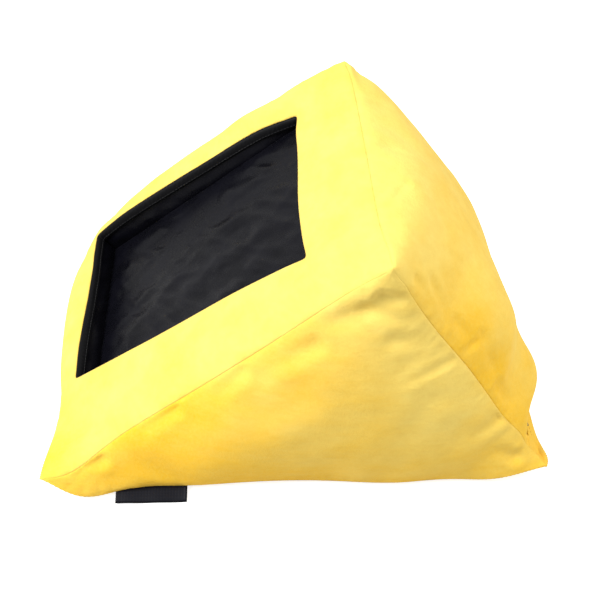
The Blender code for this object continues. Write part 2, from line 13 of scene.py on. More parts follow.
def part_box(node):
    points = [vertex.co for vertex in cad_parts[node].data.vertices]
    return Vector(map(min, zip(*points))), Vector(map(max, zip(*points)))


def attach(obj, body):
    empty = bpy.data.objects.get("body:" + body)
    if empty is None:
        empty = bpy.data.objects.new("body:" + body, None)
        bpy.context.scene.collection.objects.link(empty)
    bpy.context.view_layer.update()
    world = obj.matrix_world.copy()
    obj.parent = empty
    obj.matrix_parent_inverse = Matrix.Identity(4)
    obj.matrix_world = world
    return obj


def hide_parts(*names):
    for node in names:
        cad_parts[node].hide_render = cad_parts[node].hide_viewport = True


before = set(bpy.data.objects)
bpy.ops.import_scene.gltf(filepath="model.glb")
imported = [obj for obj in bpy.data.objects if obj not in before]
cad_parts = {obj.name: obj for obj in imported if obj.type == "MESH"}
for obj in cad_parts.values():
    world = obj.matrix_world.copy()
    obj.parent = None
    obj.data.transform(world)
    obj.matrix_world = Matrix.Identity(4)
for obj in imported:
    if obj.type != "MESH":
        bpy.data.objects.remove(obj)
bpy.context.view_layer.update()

# Places read from the frame: the base's corners, the ridge's ends and the two slopes


def corner_points(node):
    return np.array([vert.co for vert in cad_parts[node].data.vertices])


END_POINTS = corner_points("right_end_panel")
HALF_RIDGE, RIDGE_Y, HEIGHT = END_POINTS[np.argmax(END_POINTS[:, 2])]
HALF_FOOT = END_POINTS[np.argmin(END_POINTS[:, 1]), 0]
FRONT_Y, BACK_Y = END_POINTS[:, 1].min(), END_POINTS[:, 1].max()
DEPTH = BACK_Y - FRONT_Y
FRONT_LENGTH = math.hypot(HEIGHT, RIDGE_Y - FRONT_Y)
BACK_LENGTH = math.hypot(HEIGHT, BACK_Y - RIDGE_Y)
MERGE_DISTANCE = 0.0001


class Slope:
    """The front or the back slope. Its places are given across it, up it and out of it."""

    def __init__(self, side, foot):
        self.angle = math.atan2(HEIGHT, side * (RIDGE_Y - foot))
        rise, run = math.sin(self.angle), math.cos(self.angle)
        self.axes = np.array([(side, 0, 0), (0, side * run, rise), (0, -side * rise, run)])
        self.foot = (0, foot, 0)

    def __call__(self, x, slope, lift=0.0):
        return np.stack(np.broadcast_arrays(x, slope, lift), -1) @ self.axes + self.foot

    def corners(self, node):
        return (corner_points(node) - self.foot) @ self.axes.T

    def span(self, node):
        """Lowest and highest corner of a node."""
        corners = self.corners(node)
        return corners.min(0), corners.max(0)


on_front, on_back = Slope(1, FRONT_Y), Slope(-1, BACK_Y)
WINDOW_LEFT = on_front.span("pocket_left_wall")[1][0]
WINDOW_RIGHT = on_front.span("pocket_right_wall")[0][0]
WINDOW_LOW = on_front.span("pocket_bottom_wall")[1][1]
WINDOW_TOP = on_front.span("pocket_top_wall")[0][1]
WINDOW_CORNERS = np.array([
    (WINDOW_LEFT, WINDOW_LOW), (WINDOW_RIGHT, WINDOW_LOW),
    (WINDOW_RIGHT, WINDOW_TOP), (WINDOW_LEFT, WINDOW_TOP),
])
WINDOW_WIDTH, WINDOW_LENGTH = WINDOW_RIGHT - WINDOW_LEFT, WINDOW_TOP - WINDOW_LOW
RIM_LIFT = on_front.span("front_panel")[1][2]
BED_CORNERS = on_front.corners("pocket_bed")
BED_LOW_LIFT, BED_TOP_LIFT = (
    BED_CORNERS[np.abs(BED_CORNERS[:, 1] - end) < MERGE_DISTANCE * 5, 2].max()
    for end in (BED_CORNERS[:, 1].min(), BED_CORNERS[:, 1].max())
)
SLOT_LOW = on_back.span("back_lower_strip")[1][1]
SLOT_HIGH = on_back.span("back_panel")[0][1]

# Beside the zip the back lies flat: how high, how soon it swells beyond that, and half the
# lengths that are stitched and that the pull reaches
ZIP_BAND, ZIP_BLEND, ZIP_STITCHED, PULL_REACH = 0.038, 0.012, 0.139, 0.157

# Grid of the cloth: cells between the seams and the window or the zip
ROWS_BELOW, ROWS_WINDOW, ROWS_ABOVE = 7, 40, 13
COLUMNS_LEFT, COLUMNS_WINDOW, COLUMNS_RIGHT = 10, 30, 14
ROWS = ROWS_BELOW + ROWS_WINDOW + ROWS_ABOVE
COLUMNS = COLUMNS_LEFT + COLUMNS_WINDOW + COLUMNS_RIGHT
ROWS_STRIP, ROWS_SLOT, ROWS_FLAT = 4, 2, 2
SLOT_COLUMNS = 5
SEAM_CROWDING = 1.25

# Swell that the cloth starts from, before the filling's pressure
START_BACK, START_RIGHT, START_LEFT = 0.026, 0.015, 0.030
DOME_POWER, PULL_FADE = 0.6, 1.5
SEAM_DRAW_IN = 0.003
EAR_SHARPNESS = 6
RIDGE_SAG = 0.004
SEAM_RISE = 0.004
RISE_WIDTH, RISE_HEIGHT = 0.030, 0.008

# Soft changes to the cut shape: place, reach along x, y and z, and move
NUDGES = (
    # ear at the right front, right back, left front and left back
    ((HALF_FOOT, FRONT_Y, 0), (0.035, 0.022, 0.04), (0.002, -0.001, 0.018)),
    ((HALF_FOOT, BACK_Y, 0), (0.02, 0.05, 0.05), (0, -0.004, 0.012)),
    ((-HALF_FOOT, FRONT_Y, 0), (0.07, 0.07, 0.07), (0.026, 0.022, 0.002)),
    ((-HALF_FOOT, BACK_Y, 0), (0.016, 0.05, 0.05), (-0.001, -0.005, 0.002)),
    # fuller lower edge of the right end, its two feet, the left end and the front
    ((HALF_FOOT, 0.02, 0), (0.05, 0.19, 0.04), (0.007, 0, 0)),
    ((HALF_FOOT, -0.188, 0), (0.05, 0.036, 0.04), (0.017, 0, 0)),
    ((HALF_FOOT, -0.11, 0), (0.05, 0.06, 0.04), (0.006, 0, 0)),
    ((HALF_FOOT, 0.08, 0), (0.05, 0.05, 0.04), (0.005, 0, 0)),
    ((HALF_FOOT, 0.175, 0), (0.05, 0.04, 0.04), (0.008, 0, 0)),
    ((-HALF_FOOT, 0.03, 0), (0.05, 0.17, 0.04), (-0.006, 0, 0)),
    ((-0.03, FRONT_Y, 0), (0.11, 0.05, 0.03), (0, -0.008, 0)),
    ((0.1, FRONT_Y, 0.01), (0.03, 0.05, 0.03), (0, 0.005, 0)),
    # the back's lowest and fullest place, towards the right
    ((0.094, 0.205, 0.049), (0.042, 0.05, 0.017), (0, 0.033, -0.003)),
    ((0.09, 0.186, 0.089), (0.045, 0.05, 0.024), (0, 0.013, 0.004)),
    ((0.152, 0.197, 0.048), (0.014, 0.02, 0.014), (0, 0.005, 0.003)),
    ((0.09, 0.155, 0.125), (0.05, 0.05, 0.038), (0, 0.016, 0.01)),
    ((0.155, 0.212, 0.02), (0.015, 0.03, 0.022), (0, 0.009, 0.003)),
    # full ridge, blunt at its left end, and the left seam that bows out
    ((0, RIDGE_Y, HEIGHT), (0.3, 0.05, 0.05), (0, -0.004, 0.007)),
    ((-HALF_RIDGE, RIDGE_Y, HEIGHT), (0.02, 0.03, 0.03), (0.004, -0.004, -0.001)),
    ((HALF_RIDGE, RIDGE_Y, HEIGHT), (0.03, 0.025, 0.025), (0, 0.008, 0)),
    ((-0.112, 0.078, 0.2), (0.04, 0.035, 0.03), (0, 0.002, 0.002)),
    ((-0.15, -0.075, 0.115), (0.05, 0.11, 0.09), (-0.01, -0.004, 0.005)),
    ((-0.132, 0.012, 0.185), (0.045, 0.07, 0.06), (-0.01, -0.007, 0.012)),
    ((-0.132, -0.052, 0.152), (0.03, 0.03, 0.03), (-0.004, -0.004, 0.006)),
)

# Soft changes to the window's edge: place across and up the slope, reach, sharpness, and move
# across, up and out
WINDOW_PULLS = (
    ((WINDOW_LEFT, (WINDOW_LOW + WINDOW_TOP) / 2), (0.04, 0.122), 6, (-0.007, 0, 0.004)),  # bows out and up
    ((WINDOW_RIGHT, WINDOW_LOW + 0.185), (0.03, 0.058), 2, (-0.0028, 0, 0)),  # near edge bows in
    ((WINDOW_RIGHT - 0.06, WINDOW_TOP), (0.05, 0.03), 2, (0, -0.0034, 0)),  # top edge bows in
    ((WINDOW_RIGHT - 0.045, WINDOW_LOW), (0.04, 0.03), 2, (0, -0.0028, 0)),  # low edge bows out
    ((WINDOW_RIGHT, WINDOW_TOP), (0.012, 0.012), 2, (0.0015, 0.0015, 0)),  # pointed corners
    ((WINDOW_LEFT, WINDOW_TOP), (0.02, 0.03), 2, (0.0045, 0.002, -0.001)),
)

FRONT, STRIP, SLOT, BACK, BASE, RIGHT, LEFT, BED, WALLS = range(9)


def bed_lift(slope):
    """Lift of the pocket bed's face, which lies deeper at its lower end."""
    share = (slope - WINDOW_LOW) / WINDOW_LENGTH
    return BED_LOW_LIFT + (BED_TOP_LIFT - BED_LOW_LIFT) * share


def crowded(cells, low, high, at_low=True):
    """Grid lines between two places, closer together at one end."""
    share = np.linspace(0, 1, cells + 1) ** SEAM_CROWDING
    return low + (high - low) * (share if at_low else 1 - share[::-1])


def flare(share):
    """1 along the middle of a seam and 0 at its ends, where the corner ears stick out."""
    return 1 - np.abs(2 * share - 1) ** EAR_SHARPNESS


def side_half(height):
    share = height / HEIGHT
    return HALF_FOOT + (HALF_RIDGE - HALF_FOOT) * share - SEAM_DRAW_IN * flare(share)


def column_places(half):
    """X of the grid lines across a slope whose half length is given."""
    left = crowded(COLUMNS_LEFT, -half, WINDOW_LEFT)
    middle = np.linspace(WINDOW_LEFT, WINDOW_RIGHT, COLUMNS_WINDOW + 1)
    right = crowded(COLUMNS_RIGHT, WINDOW_RIGHT, half, at_low=False)
    return np.concatenate([left, middle[1:], right[1:]])


def dome(across, along):
    """Swell of a stuffed face, from 0 at its edges, where both shares are 1 or -1."""
    return np.clip((1 - across**2) * (1 - along**2), 0, 1) ** DOME_POWER


def fall_off(points, place, reach):
    """A share for each point, 1 at the place and less and less with the distance from it."""
    return np.exp(-(((points - np.array(place)) / np.array(reach)) ** 2).sum(-1))


def nudge(points, weight=1.0):
    """Moves points of the cut shape by the soft changes."""
    moved = np.array(points, float)
    moved[..., 2] += SEAM_RISE * np.exp(-((moved[..., 2] / RISE_HEIGHT) ** 2))
    for place, reach, move in NUDGES:
        moved += (fall_off(points, place, reach) * weight)[..., None] * np.array(move)
    return moved


def pull_window(x, slope):
    """How far the window's edge is pulled across, up and out at places of the front slope."""
    x, slope = np.broadcast_arrays(x, slope)
    moved = np.zeros(x.shape + (3,))
    for place, reach, power, move in WINDOW_PULLS:
        away = np.abs((x - place[0]) / reach[0]) ** power + np.abs((slope - place[1]) / reach[1]) ** power
        moved += np.exp(-away)[..., None] * np.array(move)
    return moved


def front_grid(base_seam):
    low = crowded(ROWS_BELOW, 0, WINDOW_LOW)
    middle = np.linspace(WINDOW_LOW, WINDOW_TOP, ROWS_WINDOW + 1)
    high = crowded(ROWS_ABOVE, WINDOW_TOP, FRONT_LENGTH, at_low=False)
    rows = []
    for slope in np.concatenate([low, middle[1:], high[1:]]):
        half = side_half(slope * math.sin(on_front.angle))
        x = column_places(half)
        below = max(0, 1 - slope / WINDOW_LOW)
        above = max(0, (slope - WINDOW_TOP) / (FRONT_LENGTH - WINDOW_TOP))
        left = np.clip((WINDOW_LEFT - x) / (WINDOW_LEFT + half), 0, 1)
        right = np.clip((x - WINDOW_RIGHT) / (half - WINDOW_RIGHT), 0, 1)
        beside, beyond = np.maximum(left, right), max(below, above)
        edge = np.maximum(beside, beyond)
        row = nudge(on_front(x, slope), edge) + RIM_LIFT * dome(beside, beyond)[:, None] * on_front.axes[2]
        row += pull_window(x, slope) @ on_front.axes * (1 - edge[:, None]) ** PULL_FADE
        row[:, 2] -= RIDGE_SAG * flare((x + half) / (2 * half)) * above**2
        rows.append(row)
    rows = np.array(rows)
    rows[0] = base_seam
    return rows


def back_places():
    """Places up the back slope of the grid's rows, with the zip's slot on rows of its own."""
    rest = ROWS - ROWS_STRIP - ROWS_SLOT - ROWS_FLAT
    return np.concatenate([
        np.linspace(0, SLOT_LOW, ROWS_STRIP + 1),
        np.linspace(SLOT_LOW, SLOT_HIGH, ROWS_SLOT + 1)[1:],
        np.linspace(SLOT_HIGH, ZIP_BAND, ROWS_FLAT + 1)[1:],
        crowded(rest, ZIP_BAND, BACK_LENGTH, at_low=False)[1:],
    ])


def back_grid(base_seam, ridge_seam):
    ridge = column_places(HALF_RIDGE) / HALF_RIDGE
    foot = column_places(HALF_FOOT) / HALF_FOOT
    rows = []
    for slope in back_places():
        up = slope / BACK_LENGTH
        share = ridge * up + foot * (1 - up)
        half = side_half(HEIGHT * up)
        swell = max(0, (slope - ZIP_BAND) / (BACK_LENGTH - ZIP_BAND))
        lift = START_BACK * dome(share, 2 * swell - 1)
        free = np.clip((slope - ZIP_BAND) / ZIP_BLEND, 0, 1)
        free = np.maximum(free, np.clip((np.abs(share) * half - PULL_REACH) / ZIP_BLEND, 0, 1))
        rows.append(nudge(on_back(-share * half, slope), free) + lift[:, None] * on_back.axes[2])
    rows = np.array(rows)
    rows[0], rows[-1] = base_seam, ridge_seam
    return rows


def base_grid():
    foot = column_places(HALF_FOOT) / HALF_FOOT
    rows = []
    for share in np.arange(ROWS + 1) / ROWS:
        row = nudge(np.stack([foot * HALF_FOOT, np.full_like(foot, FRONT_Y + DEPTH * share), 0 * foot], -1))
        inward = np.minimum((1 - np.abs(foot)) * HALF_FOOT, min(share, 1 - share) * DEPTH)
        row[:, 2] *= np.clip(1 - inward / RISE_WIDTH, 0, 1) ** 2
        rows.append(row)
    return np.array(rows)


def end_grid(front_seam, back_seam, base_seam, swell):
    """Points of a three-cornered end, keyed by their step up and their step back."""
    front, back, top = base_seam[0], base_seam[-1], front_seam[-1]
    outward = np.cross(back - front, top - front)
    outward = outward / np.linalg.norm(outward)
    outward = outward * math.copysign(1, outward[0] * front[0])
    points = {}
    for up in range(ROWS + 1):
        for behind in range(ROWS + 1 - up):
            ahead = ROWS - up - behind
            flat = (top * up + front * ahead + back * behind) / ROWS
            if ROWS in (up, behind, ahead):
                points[up, behind] = flat
                continue
            between_seams = (
                (front_seam[up] * ahead + back_seam[up] * behind) / (ahead + behind),
                (front_seam[ROWS - ahead] * up + base_seam[ROWS - ahead] * behind) / (up + behind),
                (back_seam[ROWS - behind] * up + base_seam[behind] * ahead) / (up + ahead),
            )
            rise = 27 * up * ahead * behind / ROWS**3  # 1 in the middle
            points[up, behind] = (sum(between_seams) - flat) / 2 + outward * swell * rise**DOME_POWER
    return points


def quads(index):
    """Corners of the faces of a grid of point numbers, row by row."""
    index = np.array(index).tolist()
    return [
        [low[c], low[c + 1], high[c + 1], high[c]]
        for low, high in zip(index, index[1:])
        for c in range(len(low) - 1)
    ]


class Shell:
    """The whole cover as one closed surface: points, faces and the panel of each face."""

    def __init__(self):
        self.points, self.faces, self.labels = [], [], []
        self.found = {}
        base = base_grid()
        front = front_grid(base[0])
        back = back_grid(base[-1], front[-1])
        self.front = self.add_grid(front, self.front_label)
        self.back = self.add_grid(back, self.back_label)
        self.base = self.add_grid(base, lambda row, column: BASE)
        self.right = self.add_end(end_grid(front[:, -1], back[:, -1], base[:, -1], START_RIGHT), RIGHT)
        self.left = self.add_end(end_grid(front[:, 0], back[:, 0], base[:, 0], START_LEFT), LEFT)
        self.add_recess()
        self.points = np.array(self.points)
        self.turn_outward()
        self.held = [self.base, self.rim, self.bed, self.back[: ROWS_STRIP + ROWS_SLOT + ROWS_FLAT + 1]]
        self.ridge_ends = self.back[-1, [0, -1]]

    def front_label(self, row, column):
        inside = ROWS_BELOW <= row < ROWS_BELOW + ROWS_WINDOW
        inside = inside and COLUMNS_LEFT <= column < COLUMNS_LEFT + COLUMNS_WINDOW
        return None if inside else FRONT

    def back_label(self, row, column):
        """The slot is open along the zip and sewn shut beyond its ends."""
        open_slot = SLOT_COLUMNS <= column < COLUMNS - SLOT_COLUMNS
        if row < ROWS_STRIP + (0 if open_slot else ROWS_SLOT // 2):
            return STRIP
        return SLOT if open_slot and row < ROWS_STRIP + ROWS_SLOT else BACK

    def point(self, place):
        """The number of a point, shared by the panels that meet there."""
        key = tuple(np.round(np.asarray(place) / MERGE_DISTANCE).astype(int))
        if key not in self.found:
            self.found[key] = len(self.points)
            self.points.append(np.asarray(place, float))
        return self.found[key]

    def add_faces(self, faces, label):
        self.faces.extend(faces)
        self.labels.extend([label] * len(faces))

    def add_grid(self, rows, label_of):
        index = np.array([[self.point(place) for place in row] for row in rows])
        for cell, corners in zip(np.ndindex(len(index) - 1, len(index[0]) - 1), quads(index)):
            label = label_of(*cell)
            if label is not None:
                self.add_faces([corners], label)
        return index

    def add_end(self, points, label):
        index = {key: self.point(place) for key, place in points.items()}
        for up, behind in points:
            beside, above = (up, behind + 1), (up + 1, behind)
            if up + behind < ROWS:
                self.add_faces([[index[up, behind], index[beside], index[above]]], label)
            if up + behind < ROWS - 1:
                self.add_faces([[index[beside], index[up + 1, behind + 1], index[above]]], label)
        return index

    def add_recess(self):
        """The pocket's walls and bed, which close the surface behind the window."""
        rim = self.front[ROWS_BELOW : ROWS_BELOW + ROWS_WINDOW + 1]
        rim = rim[:, COLUMNS_LEFT : COLUMNS_LEFT + COLUMNS_WINDOW + 1]
        bed = np.array([
            [self.point(on_front(x, slope, bed_lift(slope)))
             for x in np.linspace(WINDOW_LEFT, WINDOW_RIGHT, COLUMNS_WINDOW + 1)]
            for slope in np.linspace(WINDOW_LOW, WINDOW_TOP, ROWS_WINDOW + 1)
        ])
        self.add_faces(quads(bed), BED)
        for side in (
            (rim[0], bed[0]),
            (rim[:, -1], bed[:, -1]),
            (rim[-1, ::-1], bed[-1, ::-1]),
            (rim[::-1, 0], bed[::-1, 0]),
        ):
            self.add_faces(quads(side), WALLS)
        self.rim, self.bed = rim, bed

    def turn_outward(self):
        """Winds every face so that its normal points out of the filling."""
        mesh = bpy.data.meshes.new("shell")
        mesh.from_pydata([tuple(point) for point in self.points], [], self.faces)
        bm = bmesh.new()
        bm.from_mesh(mesh)
        bmesh.ops.recalc_face_normals(bm, faces=bm.faces)
        if bm.calc_volume(signed=True) < 0:
            bmesh.ops.reverse_faces(bm, faces=bm.faces)
        self.faces = [[vert.index for vert in face.verts] for face in bm.faces]
        bm.free()
        bpy.data.meshes.remove(mesh)


def linked(name, data):
    """A new object in the scene."""
    made = bpy.data.objects.new(name, data)
    bpy.context.scene.collection.objects.link(made)
    return made


def mesh_object(name, points, faces):
    mesh = bpy.data.meshes.new(name)
    mesh.from_pydata([tuple(point) for point in points], [], faces)
    mesh.update()
    return linked(name, mesh)


def adjust(target, **settings):
    """Sets several properties of a modifier, a camera or the like."""
    for key, value in settings.items():
        setattr(target, key, value)
    return target


# Cloth settings under the filling's pressure, and how far it may move the cloth. The seams are
# drawn together most, and the cells beside them less with each step.
CLOTH = {
    "quality": 6, "mass": 0.3,
    "tension_stiffness": 15, "compression_stiffness": 15, "shear_stiffness": 5, "bending_stiffness": 16,
    "use_pressure": True, "uniform_pressure_force": 24,
    "vertex_group_mass": "pinned", "vertex_group_shrink": "seams", "shrink_min": -0.015, "shrink_max": 0.05,
}
FRAMES = 24
SEAM_STEPS = (1.0, 0.8, 0.5, 0.25)
MOST_MOVE = 0.028


def seam_weights(shell):
    """How strongly each point belongs to a seam."""
    weights = np.zeros(len(shell.points))
    for step, weight in enumerate(SEAM_STEPS):
        lines = []
        for index in (shell.back, shell.front):
            lines += [index[:, step], index[:, -1 - step], index[-1 - step], index[step]]
        for end in (shell.right, shell.left):
            lines.append([i for (up, behind), i in end.items() if min(behind, ROWS - up - behind) == step])
        for line in lines:
            weights[line] = np.maximum(weights[line], weight)
    return weights


def inflate(shell):
    """Lets the filling's pressure swell the cloth between its seams and the pinned base and window."""
    piece = mesh_object("cloth_trial", shell.points, shell.faces)
    pinned = {int(i) for index in (*shell.held, shell.ridge_ends) for i in index.ravel()}
    piece.vertex_groups.new(name="pinned").add(sorted(pinned), 1.0, "REPLACE")
    seams = piece.vertex_groups.new(name="seams")
    for i, weight in enumerate(seam_weights(shell)):
        if weight:
            seams.add([i], weight, "REPLACE")
    cloth = piece.modifiers.new("cloth", "CLOTH")
    adjust(cloth.settings, **CLOTH)
    cloth.settings.effector_weights.gravity = 0
    cloth.collision_settings.use_collision = False
    adjust(cloth.point_cache, frame_start=1, frame_end=FRAMES)
    scene = bpy.context.scene
    for number in range(1, FRAMES + 1):
        scene.frame_set(number)
    evaluated = piece.evaluated_get(bpy.context.evaluated_depsgraph_get())
    step = np.array([vert.co for vert in evaluated.data.vertices]) - shell.points
    scene.frame_set(1)
    bpy.data.objects.remove(piece)
    length = np.linalg.norm(step, axis=1, keepdims=True)
    shell.points = shell.points + step * np.minimum(1, MOST_MOVE / np.maximum(length, 1e-9))
    shell.points[:, 2] = np.maximum(shell.points[:, 2], 0)


# Rounds and strength of the smoothing: of the cloth, along its seams, and near the ridge's ends
RELAX_ROUNDS, RELAX, SEAM_RELAX = 5, 0.5, 0.15
BLUNT_ROUNDS, BLUNT_RELAX, BLUNT_RADIUS = 9, 0.6, 0.014


def relax(shell):
    """Evens out the smallest wrinkles, and blunts the ridge's two corners."""
    edges = {tuple(sorted(pair)) for face in shell.faces for pair in zip(face, face[1:] + face[:1])}
    first, second = np.array(sorted(edges)).T
    count = np.bincount(np.concatenate([first, second]), minlength=len(shell.points))
    count = np.maximum(count, 1)
    share = np.full(len(shell.points), RELAX)
    for index in (shell.back, shell.front):
        share[index[:, 0]] = share[index[:, -1]] = SEAM_RELAX
        share[index[-1]] = SEAM_RELAX * 2
    for index in shell.held:
        share[index.ravel()] = 0
    blunt = np.zeros(len(shell.points))
    for corner in shell.ridge_ends:
        away = np.linalg.norm(shell.points - shell.points[corner], axis=1)
        blunt = np.maximum(blunt, np.clip(1.5 - away / BLUNT_RADIUS, 0, 1))
    for number in range(RELAX_ROUNDS + BLUNT_ROUNDS):
        total = np.zeros_like(shell.points)
        np.add.at(total, first, shell.points[second])
        np.add.at(total, second, shell.points[first])
        weight = share if number < RELAX_ROUNDS else blunt * BLUNT_RELAX
        shell.points += (total / count[:, None] - shell.points) * weight[:, None]


def baked(piece, kind, **settings):
    """Changes a piece's mesh by a modifier."""
    adjust(piece.modifiers.new(kind, kind), **settings)
    evaluated = piece.evaluated_get(bpy.context.evaluated_depsgraph_get())
    mesh = bpy.data.meshes.new_from_object(evaluated)
    piece.modifiers.clear()
    piece.data = mesh
    mesh.name = piece.name
    return piece


def shell_object(name, shell, faces):
    """Some faces of the shell as their own mesh, with no other points."""
    used = sorted({i for face in faces for i in face})
    number = {i: k for k, i in enumerate(used)}
    return mesh_object(name, shell.points[used], [[number[i] for i in face] for face in faces])


def cut_out(name, shell, label, levels):
    """One panel of the shell as its own mesh, refined."""
    piece = shell_object(name, shell, [face for face, own in zip(shell.faces, shell.labels) if own == label])
    return baked(piece, "SUBSURF", levels=levels, boundary_smooth="PRESERVE_CORNERS")


def mesh_arrays(mesh):
    """Places and normals of a mesh's points."""
    arrays = []
    for key in ("co", "normal"):
        values = np.zeros(len(mesh.vertices) * 3, np.float32)
        mesh.vertices.foreach_get(key, values)
        arrays.append(values.reshape(-1, 3).astype(float))
    return arrays


def set_points(piece, points, lowest=0.0):
    """Moves the points of a piece's mesh, and keeps them off the floor."""
    points[:, 2] = np.maximum(points[:, 2], lowest)
    piece.data.vertices.foreach_set("co", points.astype(np.float32).ravel())
    piece.data.update()


def border_of(mesh):
    """Numbers of the points on a mesh's open edge."""
    bm = bmesh.new()
    bm.from_mesh(mesh)
    border = [vert.index for vert in bm.verts if vert.is_boundary]
    bm.free()
    return border


def tree_of(places):
    tree = KDTree(len(places))
    for number, place in enumerate(places):
        tree.insert(place, number)
    tree.balance()
    return tree


def noise_at(points, size, seed=0):
    """Smooth noise from -1 to 1 at each point, with features of that size."""
    offset = Vector((seed * 7.3, seed * 3.1, seed * 5.7))
    return np.array([noise.noise(Vector(point) / size + offset) for point in points])


# Seams of the cover: the groove where two panels meet, and the gathers beside it
SEAM_GROOVE, SEAM_GROOVE_WIDTH, CORNER_FADE = 0.0006, 0.0042, 0.006
GATHER_DEPTH, GATHER_LENGTH, GATHER_PITCH = 0.0007, 0.014, 0.0075
UNEVENNESS, UNEVENNESS_SIZE = 0.0005, 0.028
SEAM_TOLERANCE = 0.0004

# Creases of the cloth on each panel, in mm: x, y and z of their start and of their end, width
# and depth
CREASES = {
    "cover_right_end": (
        (149, 0, 158, 157, -46, 126, 7, 1.8),
        (149, -56, 124, 157, -77, 100, 6, 1.8),
        (156, -109, 84, 162, -139, 60, 6, 2.2),
        (172, -171, 35, 174, -184, 30, 6, 2.8),
        (172, -184, 32, 180, -191, 21, 4, 1.4),
        (133, 48, 196, 134, 68, 190, 5, 2.8),
        (134, 40, 186, 138, 76, 171, 6, 1.4),
        (146, 60, 161, 141, 91, 154, 6, 1.1),
        (142, 112, 133, 161, 67, 124, 4.2, 1.3),
        (157, 163, 71, 173, 138, 57, 6.5, 2.4),
        (174, 186, 30, 171, 162, 41, 6, 2.6),
        (167, -9, 113, 173, -56, 80, 14, 1.8),
        (163, 96, 105, 179, 75, 71, 12, 1.5),
    ),
    "cover_front": (
        (99, -184, 43, 143, -126, 80, 4.5, 0.8),
        (147, -200, 26, 141, -178, 40, 7, 1.4),
        (123, 10, 193, 108, 22, 207, 9, 0.8),
    ),
    "cover_back": (
        (118, 74, 199, 118, 87, 186, 4.5, 1.5),
        (110, 92, 187, 123, 107, 160, 5, 1.5),
        (121, 113, 153, 125, 131, 130, 5, 1.5),
        (124, 131, 131, 138, 116, 134, 3.5, 1.2),
        (117, 138, 129, 138, 161, 92, 6, 1.8),
        (140, 160, 91, 142, 180, 67, 6, 1.8),
        (25, 79, 214, 74, 50, 221, 3.5, 0.6),
        (-150, 185, 50, -85, 165, 85, 8, 1.6),
        (-145, 160, 85, -100, 130, 125, 9, 1.3),
        (-120, 75, 200, -85, 110, 165, 7, 1.4),
        (20, 200, 45, 35, 165, 95, 11, 1.3),
        (-60, 200, 45, -50, 170, 85, 9, 1.1),
        (-20, 70, 212, -35, 110, 170, 10, 1.1),
    ),
}
# The left end is creased as the right one is, further forward and up, and wider and softer
LEFT_TIMES, LEFT_PLUS = (-1, 1, 1, -1, 1, 1, 1.25, 0.75), (0, -8, 4, 0, -8, 4, 0, 0)
CREASES["cover_left_end"] = np.array(CREASES["cover_right_end"]) * LEFT_TIMES + LEFT_PLUS
LIP_DEPTH, LIP_PLACE, LIP_WIDTH = 0.25, 1.8, 0.8
CREASE_TAPER = 0.6


def crease_depth(points, normals, crease):
    """How far one crease pushes each point in, deepest at its start and with a low lip on both sides."""
    start, end, (width, depth) = np.split(np.array(crease) / 1000, (3, 6))
    along = end - start
    share = np.clip(((points - start) @ along) / (along @ along), 0, 1)
    offset = points - start - share[:, None] * along
    offset -= (offset * normals).sum(1)[:, None] * normals
    away = np.linalg.norm(offset, axis=1) / width
    lip = LIP_DEPTH * np.exp(-(((away - LIP_PLACE) / LIP_WIDTH) ** 2))
    return depth * np.clip(1 - share, 0, 1) ** CREASE_TAPER * (np.exp(-(away**2)) - lip)


# How deep gold the cloth's colour is made, as painted shade and painted light: for each panel a base
# amount, then patches with their place, reach and amount. Deeper gold, mostly low down, is painted
# shade; the patches with a negative amount, paler towards the tops, are painted light
GOLD_AND_PAINTED_SHADE_PATCHES = {
    "cover_right_end": (0.34, (
        ((0.165, -0.13, 0.055), (0.1, 0.085, 0.06), 0.55),
        ((0.16, -0.02, 0.15), (0.1, 0.06, 0.035), 0.35),
        ((0.17, 0, 0), (0.1, 0.24, 0.045), 0.5),
        ((0.15, 0.11, 0.12), (0.1, 0.05, 0.07), -0.35),
        ((0.14, 0.05, 0.195), (0.1, 0.08, 0.045), -0.3),
    )),
    "cover_left_end": (0.4, (
        ((-0.17, 0, 0), (0.1, 0.24, 0.05), 0.5),
        ((-0.16, -0.08, 0.12), (0.1, 0.08, 0.05), -0.25),
    )),
    "cover_back": (0.26, (
        ((0.15, 0.135, 0.115), (0.042, 0.085, 0.095), 0.85),
        ((0, 0.2, 0.03), (0.3, 0.08, 0.06), 0.4),
        ((0, 0.06, 0.215), (0.3, 0.05, 0.04), -0.25),
    )),
    "cover_strip": (0.65, ()),
    "cover_base": (0.5, ()),
    "cover_front": (0.15, (((0.165, -0.215, 0.01), (0.05, 0.04, 0.03), 0.65),)),
}


def gold_and_painted_shade_share(panel, points):
    """How deep gold each point of a panel is made, from 0, pale, to 1: random tone plus painted shade and
    painted light.
    """
    amount, patches = GOLD_AND_PAINTED_SHADE_PATCHES[panel]
    share = amount + 0.20 * noise_at(points, 0.070, 7) + 0.12 * noise_at(points, 0.028, 8)
    for place, reach, strength in patches:
        share += strength * fall_off(points, place, reach)
    return np.clip(share, 0, 1)


